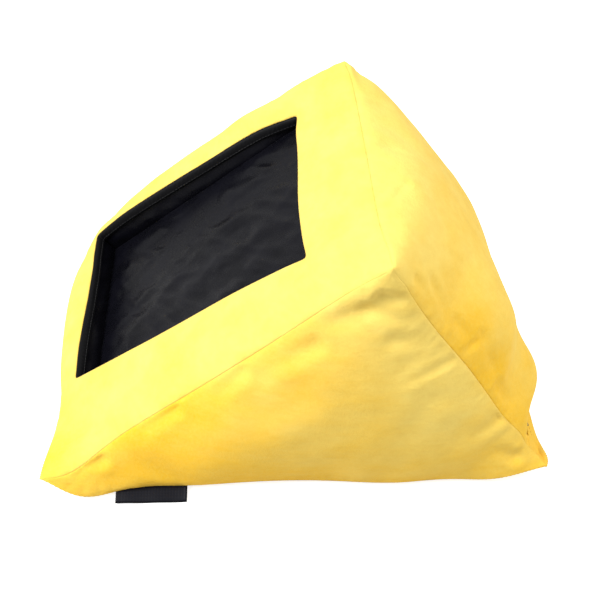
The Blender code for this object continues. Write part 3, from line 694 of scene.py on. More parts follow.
def dress_panel(piece, edges, ridge_ends):
    """Adds a panel's seam groove, gathers, creases and slight unevenness to its mesh.

    edges gives the average direction out of the panels that meet at a seam. The groove fades away
    at the ridge's ends."""
    points, normals = mesh_arrays(piece.data)
    tree = tree_of(points[border_of(piece.data)])
    found = [tree.find(point) for point in points]
    nearest, away = np.array([item[0] for item in found]), np.array([item[2] for item in found])
    near = np.clip(1 - away / SEAM_GROOVE_WIDTH, 0, 1)
    close = np.where(near > 0)[0]
    shared = np.array([edges.direction(nearest[i], normals[i]) for i in close])
    outward = normals.copy()
    outward[close] += (shared - normals[close]) * near[close, None]
    from_end = np.min([np.linalg.norm(points - end, axis=1) for end in ridge_ends], axis=0)
    groove = SEAM_GROOVE * near**2 * (1 - np.exp(-((from_end / CORNER_FADE) ** 2)))
    rising = 1 - near
    reach = GATHER_LENGTH * (1 + 0.5 * noise_at(nearest, GATHER_PITCH * 4, 2))
    gather = noise_at(nearest, GATHER_PITCH, 1) + 0.5 * noise_at(nearest, GATHER_PITCH / 2, 3)
    gather *= rising * np.exp(-((away / reach) ** 2)) * GATHER_DEPTH
    lift = gather - groove + UNEVENNESS * noise_at(points, UNEVENNESS_SIZE) * rising
    for crease in CREASES.get(piece.name, ()):
        lift -= crease_depth(points, normals, crease) * rising
    points += lift[:, None] * outward
    set_points(piece, points)
    # Point attributes for the material: nearness to a seam, and how deep gold the colour is made, which is
    # painted shade and painted light over random tone
    for name, values in (
        ("seam", np.exp(-away / SEAM_GROOVE_WIDTH)),
        ("golden", gold_and_painted_shade_share(piece.name, points)),
    ):
        own = piece.data.attributes.new(name, "FLOAT", "POINT")
        own.data.foreach_set("value", values.astype(np.float32))


class EdgeDirections:
    """Average outward direction of the panels that meet at each place of a seam."""

    def __init__(self, panels):
        self.normals = []
        places = []
        for piece in panels:
            points, normals = mesh_arrays(piece.data)
            border = border_of(piece.data)
            places.extend(points[border])
            self.normals.extend(normals[border])
        self.tree = tree_of(places)

    def direction(self, place, own):
        found = [self.normals[item[1]] for item in self.tree.find_range(place, SEAM_TOLERANCE)]
        total = np.sum(found, axis=0) if found else own
        return total / max(np.linalg.norm(total), 1e-6)


def finish_piece(piece, material, slot, node=None):
    """Smooths a piece, gives it its material and its body, and hides the CAD node that it stands for."""
    piece.data.materials.clear()
    piece.data.materials.append(material)
    piece.data.polygons.foreach_set("use_smooth", [True] * len(piece.data.polygons))
    piece.data.update()
    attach(piece, "cushion")
    if node:
        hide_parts(node)


def finish_cloth(piece, thickness, finish, offset=-1):
    """Makes a sheet as thick as its cloth and finishes it."""
    baked(piece, "SOLIDIFY", thickness=thickness, offset=offset)
    finish_piece(piece, *finish)


# Materials


def shade(colour, factor):
    return tuple(min(1, value * factor) for value in colour)


class Paint:
    """A material whose colour, roughness and bump come from nodes in the frame's metres."""

    def __init__(self, name, **sockets):
        self.material = bpy.data.materials.new(name)
        self.material.use_nodes = True
        self.tree = self.material.node_tree
        self.shader = self.tree.nodes["Principled BSDF"]
        self.feed(self.shader, **sockets)
        self.place = self.tree.nodes.new("ShaderNodeTexCoord").outputs["Object"]

    def feed(self, node, *numbered, **named):
        """Gives a node's sockets a value each, or another node's socket."""
        pairs = [(node.inputs[key], value) for key, value in numbered]
        pairs += [(node.inputs[key.replace("_", " ")], value) for key, value in named.items()]
        for socket, value in pairs:
            if isinstance(value, bpy.types.NodeSocket):
                self.tree.links.new(value, socket)
            else:
                socket.default_value = (*value, 1) if socket.type == "RGBA" and len(value) == 3 else value

    def node(self, kind, **settings):
        """Adds a node. A setting is one of its properties, or goes to one of its sockets."""
        made = self.tree.nodes.new("ShaderNode" + kind)
        own = {key: settings.pop(key) for key in list(settings) if key in made.bl_rna.properties}
        self.feed(adjust(made, **own), **settings)
        return made

    def stretched(self, scale, turn):
        return self.node("Mapping", Vector=self.place, Scale=scale, Rotation=turn).outputs["Vector"]

    def noise(self, scale, detail=2.0, roughness=0.5, vector=None, distortion=0.0):
        return self.node("TexNoise", Vector=vector or self.place, Scale=scale, Detail=detail,
                         Roughness=roughness, Distortion=distortion).outputs["Fac"]

    def cells(self, scale):
        return self.node("TexVoronoi", Vector=self.place, Scale=scale, feature="F1").outputs["Distance"]

    def bands(self, direction, scale, **settings):
        return self.node("TexWave", wave_type="BANDS", bands_direction=direction, Vector=self.place,
                         Scale=scale, **settings).outputs["Fac"]

    def math(self, operation, first, second):
        made = self.node("Math", operation=operation)
        self.feed(made, (0, first), (1, second))
        return made.outputs[0]

    def span(self, value, low, high, from_low=0.3, from_high=0.7):
        """A factor brought from one range to another."""
        return self.node("MapRange", Value=value, From_Min=from_low, From_Max=from_high,
                         To_Min=low, To_Max=high).outputs["Result"]

    def mix(self, factor, first, second):
        made = self.node("Mix", data_type="RGBA")
        self.feed(made, (0, factor), (6, first), (7, second))
        return made.outputs[2]

    def attribute(self, name):
        return self.node("Attribute", attribute_name=name).outputs["Fac"]

    def finished(self, colour, roughness, *bumps):
        """The material with its colour, its roughness and its bumps from the coarsest to the finest.

        Each bump has its height, the metres that a height of 1 stands for, and its strength."""
        below = {}
        for height, distance, strength in bumps:
            made = self.node("Bump", Height=height, Distance=distance, Strength=strength, **below)
            below = {"Normal": made.outputs["Normal"]}
        self.feed(self.shader, Base_Color=colour, Roughness=roughness, **below)
        return self.material


def suede(name, golden, pale):
    """Napped suede-like cloth: brushed patches, fine fibres, slightly darker seams, and painted shade and
    painted light from a point attribute, deeper gold low down and paler towards the tops.
    """
    paint = Paint(name, Specular_IOR_Level=0.12, Sheen_Weight=0.16, Sheen_Roughness=0.45,
                  Sheen_Tint=(1.0, 0.93, 0.62))
    patches = paint.noise(11.0, 3.0, 0.55, distortion=0.8)
    brushed = paint.noise(34.0, 4.0, 0.62, paint.stretched((1.0, 0.45, 1.6), (0.3, 0.2, 0.5)))
    mottles = paint.noise(120.0, 3.0, 0.6, paint.stretched((1.0, 0.7, 1.2), (0.2, 0.1, 0.6)))
    flecks = paint.noise(420.0, 2.0, 0.6)
    fibres = paint.noise(1500.0, 3.0, 0.7)
    nap_and_painted_shade = paint.math("ADD", paint.span(patches, -0.14, 0.14), paint.span(brushed, -0.16, 0.16))
    # Painted shade and painted light: the point attribute read here makes low places deeper gold and the tops
    # paler
    nap_and_painted_shade = paint.math("ADD", nap_and_painted_shade, paint.attribute("golden"))
    colour = paint.mix(paint.span(nap_and_painted_shade, 0.0, 1.0, 0.0, 1.0), pale, golden)
    for marks, most, tint in (
        (fibres, 0.18, shade(golden, 0.68)),
        (flecks, 0.16, shade(pale, 1.1)),
        (mottles, 0.16, shade(golden, 0.72)),
    ):
        colour = paint.mix(paint.span(marks, 0.0, most), colour, tint)
    seam = paint.math("MULTIPLY", paint.attribute("seam"), 0.05)
    colour = paint.mix(seam, colour, tuple(v * f for v, f in zip(golden, (0.78, 0.66, 0.5))))
    return paint.finished(colour, paint.span(brushed, 0.84, 0.97),
                          (brushed, 0.0016, 0.6), (flecks, 0.0004, 0.7), (fibres, 0.00025, 0.8))


def lining(name, colour, shine):
    """Coated black cloth with a soft, uneven gloss."""
    paint = Paint(name, Specular_IOR_Level=shine, Sheen_Weight=0.01, Sheen_Roughness=0.5)
    cloudy = paint.noise(30.0, 3.0, 0.55)
    grain = paint.noise(900.0, 2.0, 0.6)
    rough = paint.math("ADD", paint.span(cloudy, 0.22, 0.34), paint.span(grain, -0.04, 0.05))
    return paint.finished(paint.mix(paint.span(cloudy, 0.0, 1.0), colour, shade(colour, 1.9)), rough,
                          (cloudy, 0.0012, 0.5), (paint.cells(1100.0), 0.00012, 0.7))


def woven(name, colour, thread_size, dark=0.6, shine=0.3, rough=(0.62, 0.8), sheen=0.12):
    """Plain woven band or cloth: two crossed ribs, with slightly uneven threads."""
    paint = Paint(name, Specular_IOR_Level=shine, Sheen_Weight=sheen, Sheen_Roughness=0.4)
    uneven = paint.noise(160.0, 2.0, 0.5)
    ribs = [paint.bands(axis, 0.05 / thread_size, Distortion=0.4, Detail=1.0) for axis in "XY"]
    weave = paint.math("MULTIPLY", *ribs)
    shaded = paint.mix(paint.span(weave, 0.0, 1.0, 0.0, 1.0), shade(colour, dark), colour)
    return paint.finished(paint.mix(paint.span(uneven, 0.0, 0.35), shaded, shade(colour, 0.8)),
                          paint.span(uneven, *rough), (weave, thread_size * 0.35, 0.8))


def thread(name, colour):
    """Twisted sewing thread."""
    paint = Paint(name, Specular_IOR_Level=0.35, Sheen_Weight=0.2, Sheen_Roughness=0.4)
    twist = paint.bands("DIAGONAL", 160.0, Distortion=1.0)
    return paint.finished(paint.mix(paint.span(twist, 0.0, 0.5, 0.0, 1.0), colour, shade(colour, 0.6)),
                          paint.span(paint.noise(2500.0, 2.0, 0.6), 0.55, 0.75), (twist, 0.0001, 0.8))


def plastic(name, colour):
    """Moulded nylon with a faint unevenness."""
    paint = Paint(name, Specular_IOR_Level=0.45)
    cloudy = paint.noise(300.0, 2.0, 0.5)
    return paint.finished(paint.mix(paint.span(cloudy, 0.0, 0.5), colour, shade(colour, 0.82)),
                          paint.span(cloudy, 0.30, 0.46), (cloudy, 0.00005, 0.6))


def metal(name, colour):
    """Plated metal with fine scratches, duller where it is handled."""
    paint = Paint(name, Metallic=1.0)
    scratches = paint.noise(700.0, 3.0, 0.7, paint.stretched((0.25, 3.0, 1.0), (0, 0, 0.4)))
    worn = paint.noise(220.0, 2.0, 0.5)
    rough = paint.math("ADD", paint.span(worn, 0.42, 0.56), paint.span(scratches, -0.06, 0.08))
    return paint.finished(paint.mix(paint.span(worn, 0.0, 0.6), colour, shade(colour, 0.72)), rough,
                          (scratches, 0.00003, 0.6))


def beads(name):
    """Foam beads packed together, with painted shade in the gaps between them."""
    paint = Paint(name, Specular_IOR_Level=0.3)
    bead_tops_and_gap_shade = paint.span(paint.cells(280.0), 1.0, 0.0, 0.0, 0.9)
    # Painted shade: grey between the bead tops, where the gaps would be shaded; the same cells also give the
    # bumps
    return paint.finished(paint.mix(bead_tops_and_gap_shade, (0.55, 0.55, 0.54), (0.93, 0.93, 0.92)),
                          paint.span(paint.noise(900.0), 0.6, 0.8), (bead_tops_and_gap_shade, 0.0014, 0.9))


YELLOW_SUEDE = suede("yellow_suede", golden=(1.0, 0.585, 0.032), pale=(1.0, 0.755, 0.185))
BLACK_LINING = lining("black_lining", (0.0013, 0.0013, 0.0026), 0.10)
BLACK_BINDING = woven("black_binding", (0.0024, 0.0024, 0.0034), 0.0007,
                      shine=0.12, rough=(0.5, 0.65), sheen=0.01)
DARK_RIBBON = woven("dark_ribbon", (0.0035, 0.0038, 0.0085), 0.0004,
                    shine=0.14, rough=(0.45, 0.6), sheen=0.02)
YELLOW_THREAD = thread("yellow_thread", (1.0, 0.66, 0.09))
BLACK_THREAD = thread("black_thread", (0.012, 0.012, 0.014))
ZIP_WEAVE = woven("yellow_zip_tape", (0.92, 0.62, 0.08), 0.0006)
ZIP_NYLON = plastic("yellow_zip_nylon", (0.92, 0.64, 0.08))
ZIP_METAL = metal("zip_metal", (0.20, 0.195, 0.185))
WHITE_COTTON = woven("white_cotton", (0.78, 0.77, 0.73), 0.0008, dark=0.85)
WHITE_BEADS = beads("white_foam_beads")

# Cover: name, panel, levels of refining, flat size, flat area where it is no rectangle, CAD node
FOOT_WIDTH, MEAN_WIDTH = 2 * HALF_FOOT, HALF_FOOT + HALF_RIDGE
FRONT_AREA = MEAN_WIDTH * FRONT_LENGTH - WINDOW_WIDTH * WINDOW_LENGTH
BACK_PANEL_LENGTH = BACK_LENGTH - SLOT_HIGH
END_HEIGHT = math.hypot(HEIGHT, HALF_FOOT - HALF_RIDGE)
COVER = (
    ("cover_front", FRONT, 2, (FOOT_WIDTH, FRONT_LENGTH), FRONT_AREA, "front_panel"),
    ("cover_back", BACK, 2, (FOOT_WIDTH, BACK_PANEL_LENGTH), MEAN_WIDTH * BACK_PANEL_LENGTH, "back_panel"),
    ("cover_strip", STRIP, 2, (FOOT_WIDTH, SLOT_LOW), None, "back_lower_strip"),
    ("cover_base", BASE, 1, (FOOT_WIDTH, DEPTH), None, "base_panel"),
    ("cover_right_end", RIGHT, 2, (DEPTH, END_HEIGHT), DEPTH * END_HEIGHT / 2, "right_end_panel"),
    ("cover_left_end", LEFT, 2, (DEPTH, END_HEIGHT), DEPTH * END_HEIGHT / 2, "left_end_panel"),
)
COVER_THICKNESS = 0.0012


def add_cover(shell):
    panels = [cut_out(name, shell, label, levels) for name, label, levels, *_ in COVER]
    edges = EdgeDirections(panels)
    for piece, (_, _, _, flat, area, node) in zip(panels, COVER):
        dress_panel(piece, edges, shell.points[shell.ridge_ends])
        finish_cloth(piece, COVER_THICKNESS, (YELLOW_SUEDE, "cover_cloth", node))


# Pocket: lining walls and bed, with folds that begin below the binding and beside the corners
LINING_THICKNESS = 0.0010
TUCKED, BED_UNDER = 0.0022, 0.0012
PLY_STEP = 0.0025
BINDING_DEPTH, BED_OVERLAP = 0.0085, 0.0035
WALL_STEPS = 10
FOLD_DEPTH, FOLD_PITCH, FOLD_BELOW, FOLD_BESIDE = 0.0026, 0.018, 0.006, 0.008
WALL_PUSH = 0.0006
BED_FOLD, BED_SUNK, BED_EDGE_SUNK, BED_FOLD_BESIDE = 0.0030, 0.0006, 0.0012, 0.02


def grid_object(name, points):
    """A sheet through rows of points."""
    points = np.array(points)
    index = np.arange(points.shape[0] * points.shape[1]).reshape(points.shape[:2])
    return mesh_object(name, points.reshape(-1, 3), quads(index))


def add_wall(name, start, end, node, seed):
    """A wall of lining from the window's edge down to the bed, with soft slanting folds."""
    start, end = WINDOW_CORNERS[start], WINDOW_CORNERS[end]
    length = np.linalg.norm(end - start)
    along = (end - start) / length
    outward = np.array((along[1], -along[0]))
    rows = []
    for down in np.arange(WALL_STEPS + 1) / WALL_STEPS:
        row = []
        for share in np.linspace(0, 1, int(length / PLY_STEP) + 1):
            place = start + along * length * share
            bed = bed_lift(place[1])
            below = np.clip(((RIM_LIFT - bed) * down - BINDING_DEPTH) / FOLD_BELOW, 0, 1)
            free = min(1, min(share, 1 - share) * length / FOLD_BESIDE) * below
            free *= math.sin(math.pi * min(1, down * 0.85 + 0.15))
            slant = Vector((share * length / FOLD_PITCH + down * 0.9, down * 1.3, seed))
            fold = noise.noise(slant) + 0.4 * noise.noise(slant * 2.3)
            pushed = place + outward * (FOLD_DEPTH * (fold - 0.4) * free + WALL_PUSH * (1 - free))
            pull = pull_window(*place) * (1 - down) ** 1.3
            lift = RIM_LIFT - TUCKED + (bed - BED_OVERLAP - RIM_LIFT + TUCKED) * down
            row.append(on_front(pushed[0] + pull[0], pushed[1] + pull[1], lift + pull[2]))
        rows.append(row)
    finish_cloth(grid_object(name, rows), LINING_THICKNESS, (BLACK_LINING, "lining_cloth", node),
                 offset=1)


def bed_folds(x, slope):
    """Height of the bed's crossing folds, as a share of the deepest."""
    soft = noise.noise(Vector((x / 0.07, slope / 0.10, 4.0)))
    soft += 0.5 * noise.noise(Vector((x / 0.020, slope / 0.07, 9.0)))
    soft -= 1.2 * abs(noise.noise(Vector(((x + slope * 0.4) / 0.045, slope / 0.16, 3.0))))
    return soft - 1.1 * abs(noise.noise(Vector(((x - slope * 0.9) / 0.022, (x + slope) / 0.08, 6.0))))


def ply_places(low, high):
    """Grid lines of the bed from one side of the window to the other, and a little beyond."""
    return np.linspace(low - BED_UNDER, high + BED_UNDER, int((high - low) / PLY_STEP) + 1)


def add_bed():
    rows = []
    for slope in ply_places(WINDOW_LOW, WINDOW_TOP):
        row = []
        for x in ply_places(WINDOW_LEFT, WINDOW_RIGHT):
            inside = max(0, min(x - WINDOW_LEFT, WINDOW_RIGHT - x, slope - WINDOW_LOW, WINDOW_TOP - slope))
            fold = BED_FOLD * min(1, inside / BED_FOLD_BESIDE) * (bed_folds(x, slope) + 0.45)
            sunk = BED_SUNK + BED_EDGE_SUNK * max(0, 1 - inside / FOLD_BELOW) ** 2
            row.append(on_front(x, slope, bed_lift(slope) + np.clip(fold, -BED_SUNK, BED_FOLD) - sunk))
        rows.append(row)
    finish_cloth(grid_object("lining_bed", rows), LINING_THICKNESS,
                 (BLACK_LINING, "lining_cloth", "pocket_bed"))


# Section of the binding, out and up from the window's edge: under the cover's edge, then down the wall
BINDING_SECTION = (
    (0.0030, -0.0030), (0.0018, -0.0022), (0.0004, -0.0016), (-0.0008, -0.0022), (-0.0015, -0.0040),
    (-0.0018, -0.0065), (-0.0019, -0.0088), (-0.0014, -0.0095), (0.0000, -0.0096),
)
BINDING_THICKNESS, BINDING_WIDTH = 0.0007, 0.016
BINDING_REACH = 0.03
STITCHES_IN, STITCHES_DOWN = 0.0026, 0.0076
CORNER_RADIUS = 0.003


def window_loop():
    """Places round the window's edge with their outward directions, the corners slightly rounded."""
    loop = []
    for start, end in zip(WINDOW_CORNERS, np.roll(WINDOW_CORNERS, -1, axis=0)):
        length = np.linalg.norm(end - start)
        along = (end - start) / length
        outward = np.array((along[1], -along[0]))
        straight = length - 2 * CORNER_RADIUS
        for share in np.linspace(0, 1, int(straight / PLY_STEP) + 1):
            loop.append((start + along * (CORNER_RADIUS + straight * share), outward))
        for angle in np.array((0.25, 0.5, 0.75)) * math.pi / 2:
            centre = end - along * CORNER_RADIUS - outward * CORNER_RADIUS
            direction = outward * math.cos(angle) + along * math.sin(angle)
            loop.append((centre + direction * CORNER_RADIUS, direction))
    return loop


def add_binding():
    rows, line = [], []
    for place, outward in window_loop():
        pull = pull_window(*place)
        wave = 0.0003 * noise.noise(Vector((place[0] / 0.012, place[1] / 0.012, 2.0)))
        row = []
        for out, up in BINDING_SECTION:
            spot = place + pull[:2] * (1 + up / BINDING_REACH) + outward * (out + wave)
            row.append(on_front(*spot, RIM_LIFT + up + pull[2]))
        rows.append(row)
        spot = place + pull[:2] * 0.75 - outward * STITCHES_IN
        line.append(on_front(*spot, RIM_LIFT - STITCHES_DOWN + pull[2]))
    index = np.arange(len(rows) * len(BINDING_SECTION)).reshape(len(rows), -1)
    piece = mesh_object("window_edge_binding", np.concatenate(rows), quads([*index, index[0]]))
    finish_cloth(piece, BINDING_THICKNESS, (BLACK_BINDING, "binding_tape", "window_binding"))
    add_stitches("window_stitching", [*line, line[0]], BLACK_THREAD, "binding_tape")


# Sewing thread: short stitches that lie along a seam, thinner at their ends
STITCH_LENGTH, STITCH_GAP, THREAD_RADIUS, THREAD_SUNK = 0.0026, 0.0009, 0.00028, 0.6
STITCH_TAPER = np.array((0.55, 0.9, 1, 1, 0.9, 0.55))
TUBE_SIDES = 6


def tube(points, radius, sides=TUBE_SIDES):
    """Points and faces of a round tube along a line, closed at both ends."""
    points = np.asarray(points, float)
    along = np.gradient(points, axis=0)
    along /= np.linalg.norm(along, axis=1, keepdims=True)
    helper = (0.0, 0.0, 1.0) if abs(along[0][2]) < 0.9 else (1.0, 0.0, 0.0)
    side = np.cross(along, helper)
    side /= np.linalg.norm(side, axis=1, keepdims=True)
    up = np.cross(side, along)
    angles = np.arange(sides) * 2 * math.pi / sides
    radii = np.broadcast_to(radius, len(points))
    ring = side[:, None] * np.cos(angles)[:, None] + up[:, None] * np.sin(angles)[:, None]
    places = (points[:, None] + ring * radii[:, None, None]).reshape(-1, 3)
    index = np.arange(len(places)).reshape(-1, sides)
    ends = [index[0, ::-1].tolist(), index[-1].tolist()]
    return places, quads(np.hstack([index, index[:, :1]])) + ends


def joined(name, parts):
    """One mesh made of several sets of points and faces."""
    places, faces, count = [], [], 0
    for part_places, part_faces in parts:
        places.append(part_places)
        faces.extend([[count + i for i in face] for face in part_faces])
        count += len(part_places)
    return mesh_object(name, np.concatenate(places), faces)


def add_stitches(name, line, material, slot):
    """A row of stitches along a line of places."""
    line = np.array(line)
    steps = np.concatenate([[0], np.cumsum(np.linalg.norm(np.diff(line, axis=0), axis=1))])
    count = int(steps[-1] / (STITCH_LENGTH + STITCH_GAP))
    parts = []
    for number in range(count):
        places = steps[-1] * number / count + STITCH_LENGTH * np.linspace(0, 1, len(STITCH_TAPER))
        row = np.stack([np.interp(places, steps, line[:, k]) for k in range(3)], 1)
        parts.append(tube(row, THREAD_RADIUS * STITCH_TAPER))
    finish_piece(joined(name, parts), material, slot)


# Inner bag and beads: the shell again, drawn in behind the cover and the lining and out of the
# ears, but not into the pocket
EAR_REACH, EAR_DRAW = 0.036, 0.021
POCKET_MIDDLE, POCKET_CLEAR = (WINDOW_LEFT + WINDOW_RIGHT) / 2, WINDOW_WIDTH / 2 + 0.008
BAG_INSET, BAG_THICKNESS, BEADS_INSET = 0.0030, 0.0005, 0.0040
BAG_WRINKLE, BAG_WRINKLE_SIZE = 0.25, 0.02


def drawn_in(name, shell, inset):
    piece = shell_object(name, shell, shell.faces)
    points, normals = mesh_arrays(piece.data)
    wrinkle = 1 + BAG_WRINKLE * noise_at(points, BAG_WRINKLE_SIZE, 5)
    points -= normals * (inset * wrinkle)[:, None]
    for corner in shell.points[shell.base[[0, 0, -1, -1], [0, -1, 0, -1]]]:
        beside = np.clip((np.abs(points[:, 0] - POCKET_MIDDLE) - POCKET_CLEAR) / EAR_REACH, 0, 1)
        share = fall_off(points, corner, EAR_REACH) * np.where(points[:, 1] < 0, beside, 1)
        inward = -corner[:2] / np.linalg.norm(corner[:2])
        points[:, :2] += share[:, None] * EAR_DRAW * inward
    set_points(piece, points, inset)
    return piece


def add_inside(shell):
    bag = drawn_in("cotton_inner_bag", shell, BAG_INSET)
    baked(bag, "SOLIDIFY", thickness=BAG_THICKNESS, offset=-1)
    finish_piece(bag, WHITE_COTTON, "bag_cloth", "inner_bag")
    filling = drawn_in("foam_bead_filling", shell, BEADS_INSET)
    finish_piece(filling, WHITE_BEADS, "foam_beads", "bead_filling")


# Label: a ribbon folded double, held in the base seam
RIBBON_STEP, RIBBON_THICKNESS, RIBBON_GAP = 0.0015, 0.00035, 0.0006
RIBBON_OUT, RIBBON_DEEP, RIBBON_FORWARD = 0.0010, 0.010, 0.0022
RIBBON_RISE, RIBBON_DROOP = 0.0045, 0.0035
RIBBON_HEM, RIBBON_HEM_WIDTH = 0.00025, 0.035


def add_label():
    low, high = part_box("label_tab")
    reach = high.x - low.x + RIBBON_OUT
    rows = []
    for y in np.arange(low.y, high.y + RIBBON_STEP / 2, RIBBON_STEP):
        across = (y - low.y) / (high.y - low.y)
        wave = 0.0006 * math.sin(across * 5.2 + 0.6) + 0.0003 * math.sin(across * 13)
        lip = 0.0003 * math.sin(across * 4 + 1)
        hem = RIBBON_HEM * (min(across, 1 - across) < RIBBON_HEM_WIDTH)
        row = []
        for share in np.linspace(-1, 1, 25):
            out = (1 - abs(share)) * (reach + RIBBON_DEEP) - RIBBON_DEEP
            apart = RIBBON_GAP * math.copysign(min(1, abs(share) * 9), share)
            z = RIBBON_RISE + (wave - RIBBON_DROOP) * max(0, out / reach) + apart + hem
            row.append((low.x + out + lip, y - RIBBON_FORWARD, z))
        rows.append(row)
    piece = baked(grid_object("bare_label_ribbon", rows), "SOLIDIFY", thickness=RIBBON_THICKNESS, offset=0)
    set_points(piece, mesh_arrays(piece.data)[0], RIBBON_THICKNESS / 2)
    finish_piece(piece, DARK_RIBBON, "label_ribbon", "label_tab")


# Zip: woven tapes, coils of nylon, and the metal of the CAD with rounded edges
TAPE_STEP, TAPE_HIDDEN, TAPE_WAVE = 0.0025, 0.003, 0.00025
COIL_PITCH, COIL_WIRE, COIL_SIDES, COIL_STEPS = 0.0016, 0.00030, 5, 10
CORE_SHARE = 0.42
ZIP_STITCHES_AWAY = 0.0045
METAL_ROUNDING = {
    "zip_slider": 0.0004, "zip_pull_tab": 0.00025, "zip_open_end_stop": 0.0003, "zip_closed_end_stop": 0.0003,
}


def add_tape(side, number, hidden_low, hidden_high):
    low, high = on_back.span("zip_tape_" + side)
    low[1] -= hidden_low
    high[1] += hidden_high
    x = np.linspace(low[0], high[0], int((high[0] - low[0]) / TAPE_STEP))
    rows = []
    for slope in np.linspace(low[1], high[1], 9):
        wave = TAPE_WAVE * noise_at(np.stack([x, 0 * x + slope, 0 * x + number], 1), 0.016, 6)
        rows.append(on_back(x, slope, high[2] - 0.0001 + wave))
    finish_cloth(grid_object("woven_zip_tape_" + side, rows), high[2] - low[2],
                 (ZIP_WEAVE, "zip_tape", "zip_tape_" + side))


def add_coil(side, number):
    """One half of the zip's coil, wound round a cord."""
    low, high = on_back.span("zip_coil_" + side)
    middle, radius = (low + high) / 2, (high - low) / 2
    turns = (high[0] - low[0]) / COIL_PITCH
    angle = np.linspace(0, 2 * math.pi * turns, int(turns * COIL_STEPS)) + math.pi * number
    x = np.linspace(low[0] + COIL_WIRE, high[0] - COIL_WIRE, len(angle))
    line = on_back(x, middle[1] + (radius[1] - COIL_WIRE) * np.cos(angle),
                   middle[2] + (radius[2] - COIL_WIRE) * np.sin(angle))
    finish_piece(joined("nylon_coil_" + side, [tube(line, COIL_WIRE, COIL_SIDES)]),
                 ZIP_NYLON, "zip_coil", "zip_coil_" + side)
    start, end = on_back(np.array((low[0], high[0])), middle[1], middle[2])
    core = tube(np.linspace(start, end, 120), radius[1] * CORE_SHARE)
    finish_piece(joined("coil_core_cord_" + side, [core]), YELLOW_THREAD, "zip_coil")


def laid_on(line, panel):
    """Places of a line brought onto a panel's outer face."""
    tree = BVHTree.FromObject(bpy.data.objects[panel], bpy.context.evaluated_depsgraph_get())
    out = Vector(on_back.axes[2])
    laid = []
    for place in line:
        hit = tree.ray_cast(Vector(place) + out * 0.03, -out)[0]
        laid.append(np.array(hit) + np.array(out) * THREAD_RADIUS * THREAD_SUNK if hit else place)
    return laid


def add_zip():
    add_tape("upper", 0, 0, TAPE_HIDDEN)
    add_coil("upper", 0)
    add_tape("lower", 1, TAPE_HIDDEN, 0)
    add_coil("lower", 1)
    for name, slope, panel in (
        ("zip_stitching_upper", SLOT_HIGH + ZIP_STITCHES_AWAY, "cover_back"),
        ("zip_stitching_lower", SLOT_LOW - ZIP_STITCHES_AWAY, "cover_strip"),
    ):
        line = on_back(np.linspace(-ZIP_STITCHED, ZIP_STITCHED, 140), slope)
        add_stitches(name, laid_on(line, panel), YELLOW_THREAD, "cover_cloth")
    for node, width in METAL_ROUNDING.items():
        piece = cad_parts[node]
        adjust(piece.modifiers.new("rounded edges", "BEVEL"), width=width, segments=3, limit_method="ANGLE")
        piece.data.materials.clear()
        piece.data.materials.append(ZIP_METAL)


shell = Shell()
inflate(shell)
relax(shell)
add_cover(shell)
add_bed()
for number, side in enumerate(("bottom", "right", "top", "left")):
    add_wall(f"lining_{side}_wall", number, (number + 1) % 4, f"pocket_{side}_wall", number + 1)
add_binding()
add_inside(shell)
add_label()
add_zip()

# Camera: fitted to the photograph's corners and outline
CAMERA_PLACE = (0.53548, -0.06059, 0.65058)
CAMERA_RIGHT = (0.05981, 0.99555, 0.07282)
CAMERA_DOWN = (0.75644, 0.00239, -0.65405)
CAMERA_LENS, CAMERA_SENSOR = 49.92, 36
CAMERA_SHIFT = (-0.0215, 0.0108)


def add_camera():
    camera = linked("camera", bpy.data.cameras.new("camera"))
    right, up = Vector(CAMERA_RIGHT), -Vector(CAMERA_DOWN)
    turn = Matrix((right, up, right.cross(up))).transposed()
    camera.matrix_world = Matrix.Translation(CAMERA_PLACE) @ turn.to_4x4()
    adjust(camera.data, sensor_width=CAMERA_SENSOR, lens=CAMERA_LENS, shift_x=CAMERA_SHIFT[0],
           shift_y=CAMERA_SHIFT[1], clip_start=0.01, clip_end=50)
    bpy.context.scene.camera = camera


def add_lamp(name, place, aim, size, power, colour=(1, 1, 1)):
    lamp = linked(name, bpy.data.lights.new(name, "AREA"))
    adjust(lamp.data, shape="DISK", size=size, energy=power, color=colour)
    lamp.location = place
    lamp.rotation_euler = (Vector(aim) - Vector(place)).to_track_quat("-Z", "Y").to_euler()


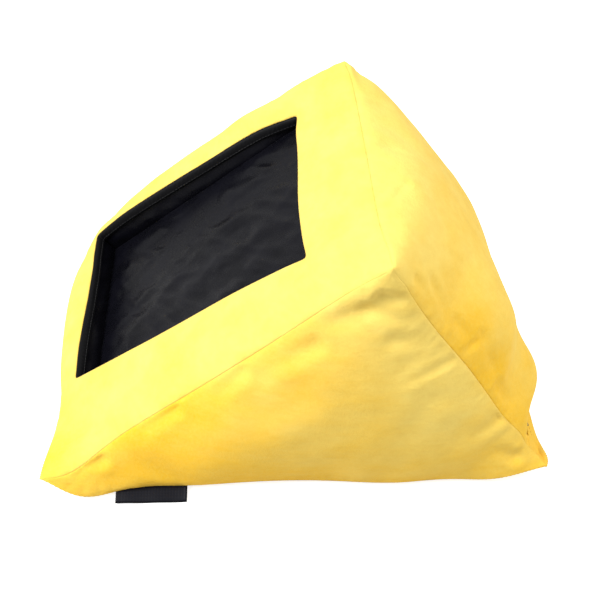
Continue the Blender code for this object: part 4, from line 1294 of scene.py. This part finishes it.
FLOOR_SIZE, FLOOR_DOWN, FLOOR_GLOW = 40.0, 0.0002, 0.80
AMBIENT = 0.31


def add_floor():
    """A plain pale floor, a little brighter to the camera so that it meets the white background."""
    corners = np.array([(-1, -1, 0), (1, -1, 0), (1, 1, 0), (-1, 1, 0)]) * FLOOR_SIZE / 2 - (0, 0, FLOOR_DOWN)
    floor = mesh_object("floor", corners, [[0, 1, 2, 3]])
    paint = Paint("pale_floor", Base_Color=(0.70, 0.70, 0.70), Roughness=0.9, Specular_IOR_Level=0.1,
                  Emission_Color=(1, 1, 1))
    seen = paint.node("LightPath").outputs["Is Camera Ray"]
    paint.feed(paint.shader, Emission_Strength=paint.math("MULTIPLY", seen, FLOOR_GLOW))
    floor.data.materials.append(paint.material)


def add_world():
    """Even light from all round, and plain white where the camera or a reflection looks."""
    world = bpy.data.worlds.new("studio")
    bpy.context.scene.world = world
    world.use_nodes = True
    nodes, links = world.node_tree.nodes, world.node_tree.links
    white = nodes.new("ShaderNodeBackground")
    for background, strength in ((nodes["Background"], AMBIENT), (white, 1)):
        background.inputs["Color"].default_value = (1, 1, 1, 1)
        background.inputs["Strength"].default_value = strength
    path = nodes.new("ShaderNodeLightPath")
    seen = path.outputs["Is Camera Ray"]
    for name in ("Is Glossy Ray", "Is Transmission Ray"):
        either = nodes.new("ShaderNodeMath")
        either.operation = "MAXIMUM"
        links.new(seen, either.inputs[0])
        links.new(path.outputs[name], either.inputs[1])
        seen = either.outputs[0]
    mix = nodes.new("ShaderNodeMixShader")
    for socket, source in zip(mix.inputs, (seen, nodes["Background"].outputs[0], white.outputs[0])):
        links.new(source, socket)
    links.new(mix.outputs[0], nodes["World Output"].inputs["Surface"])


add_camera()
add_lamp("key", (0.25, -1.3, 1.4), (0, 0, 0.1), 0.8, 42)
add_lamp("back_fill", (0.0, 1.1, 1.3), (0, 0.1, 0.1), 1.0, 17, (1.0, 0.97, 0.92))
add_floor()
add_world()
bpy.context.scene.view_settings.view_transform = "Standard"
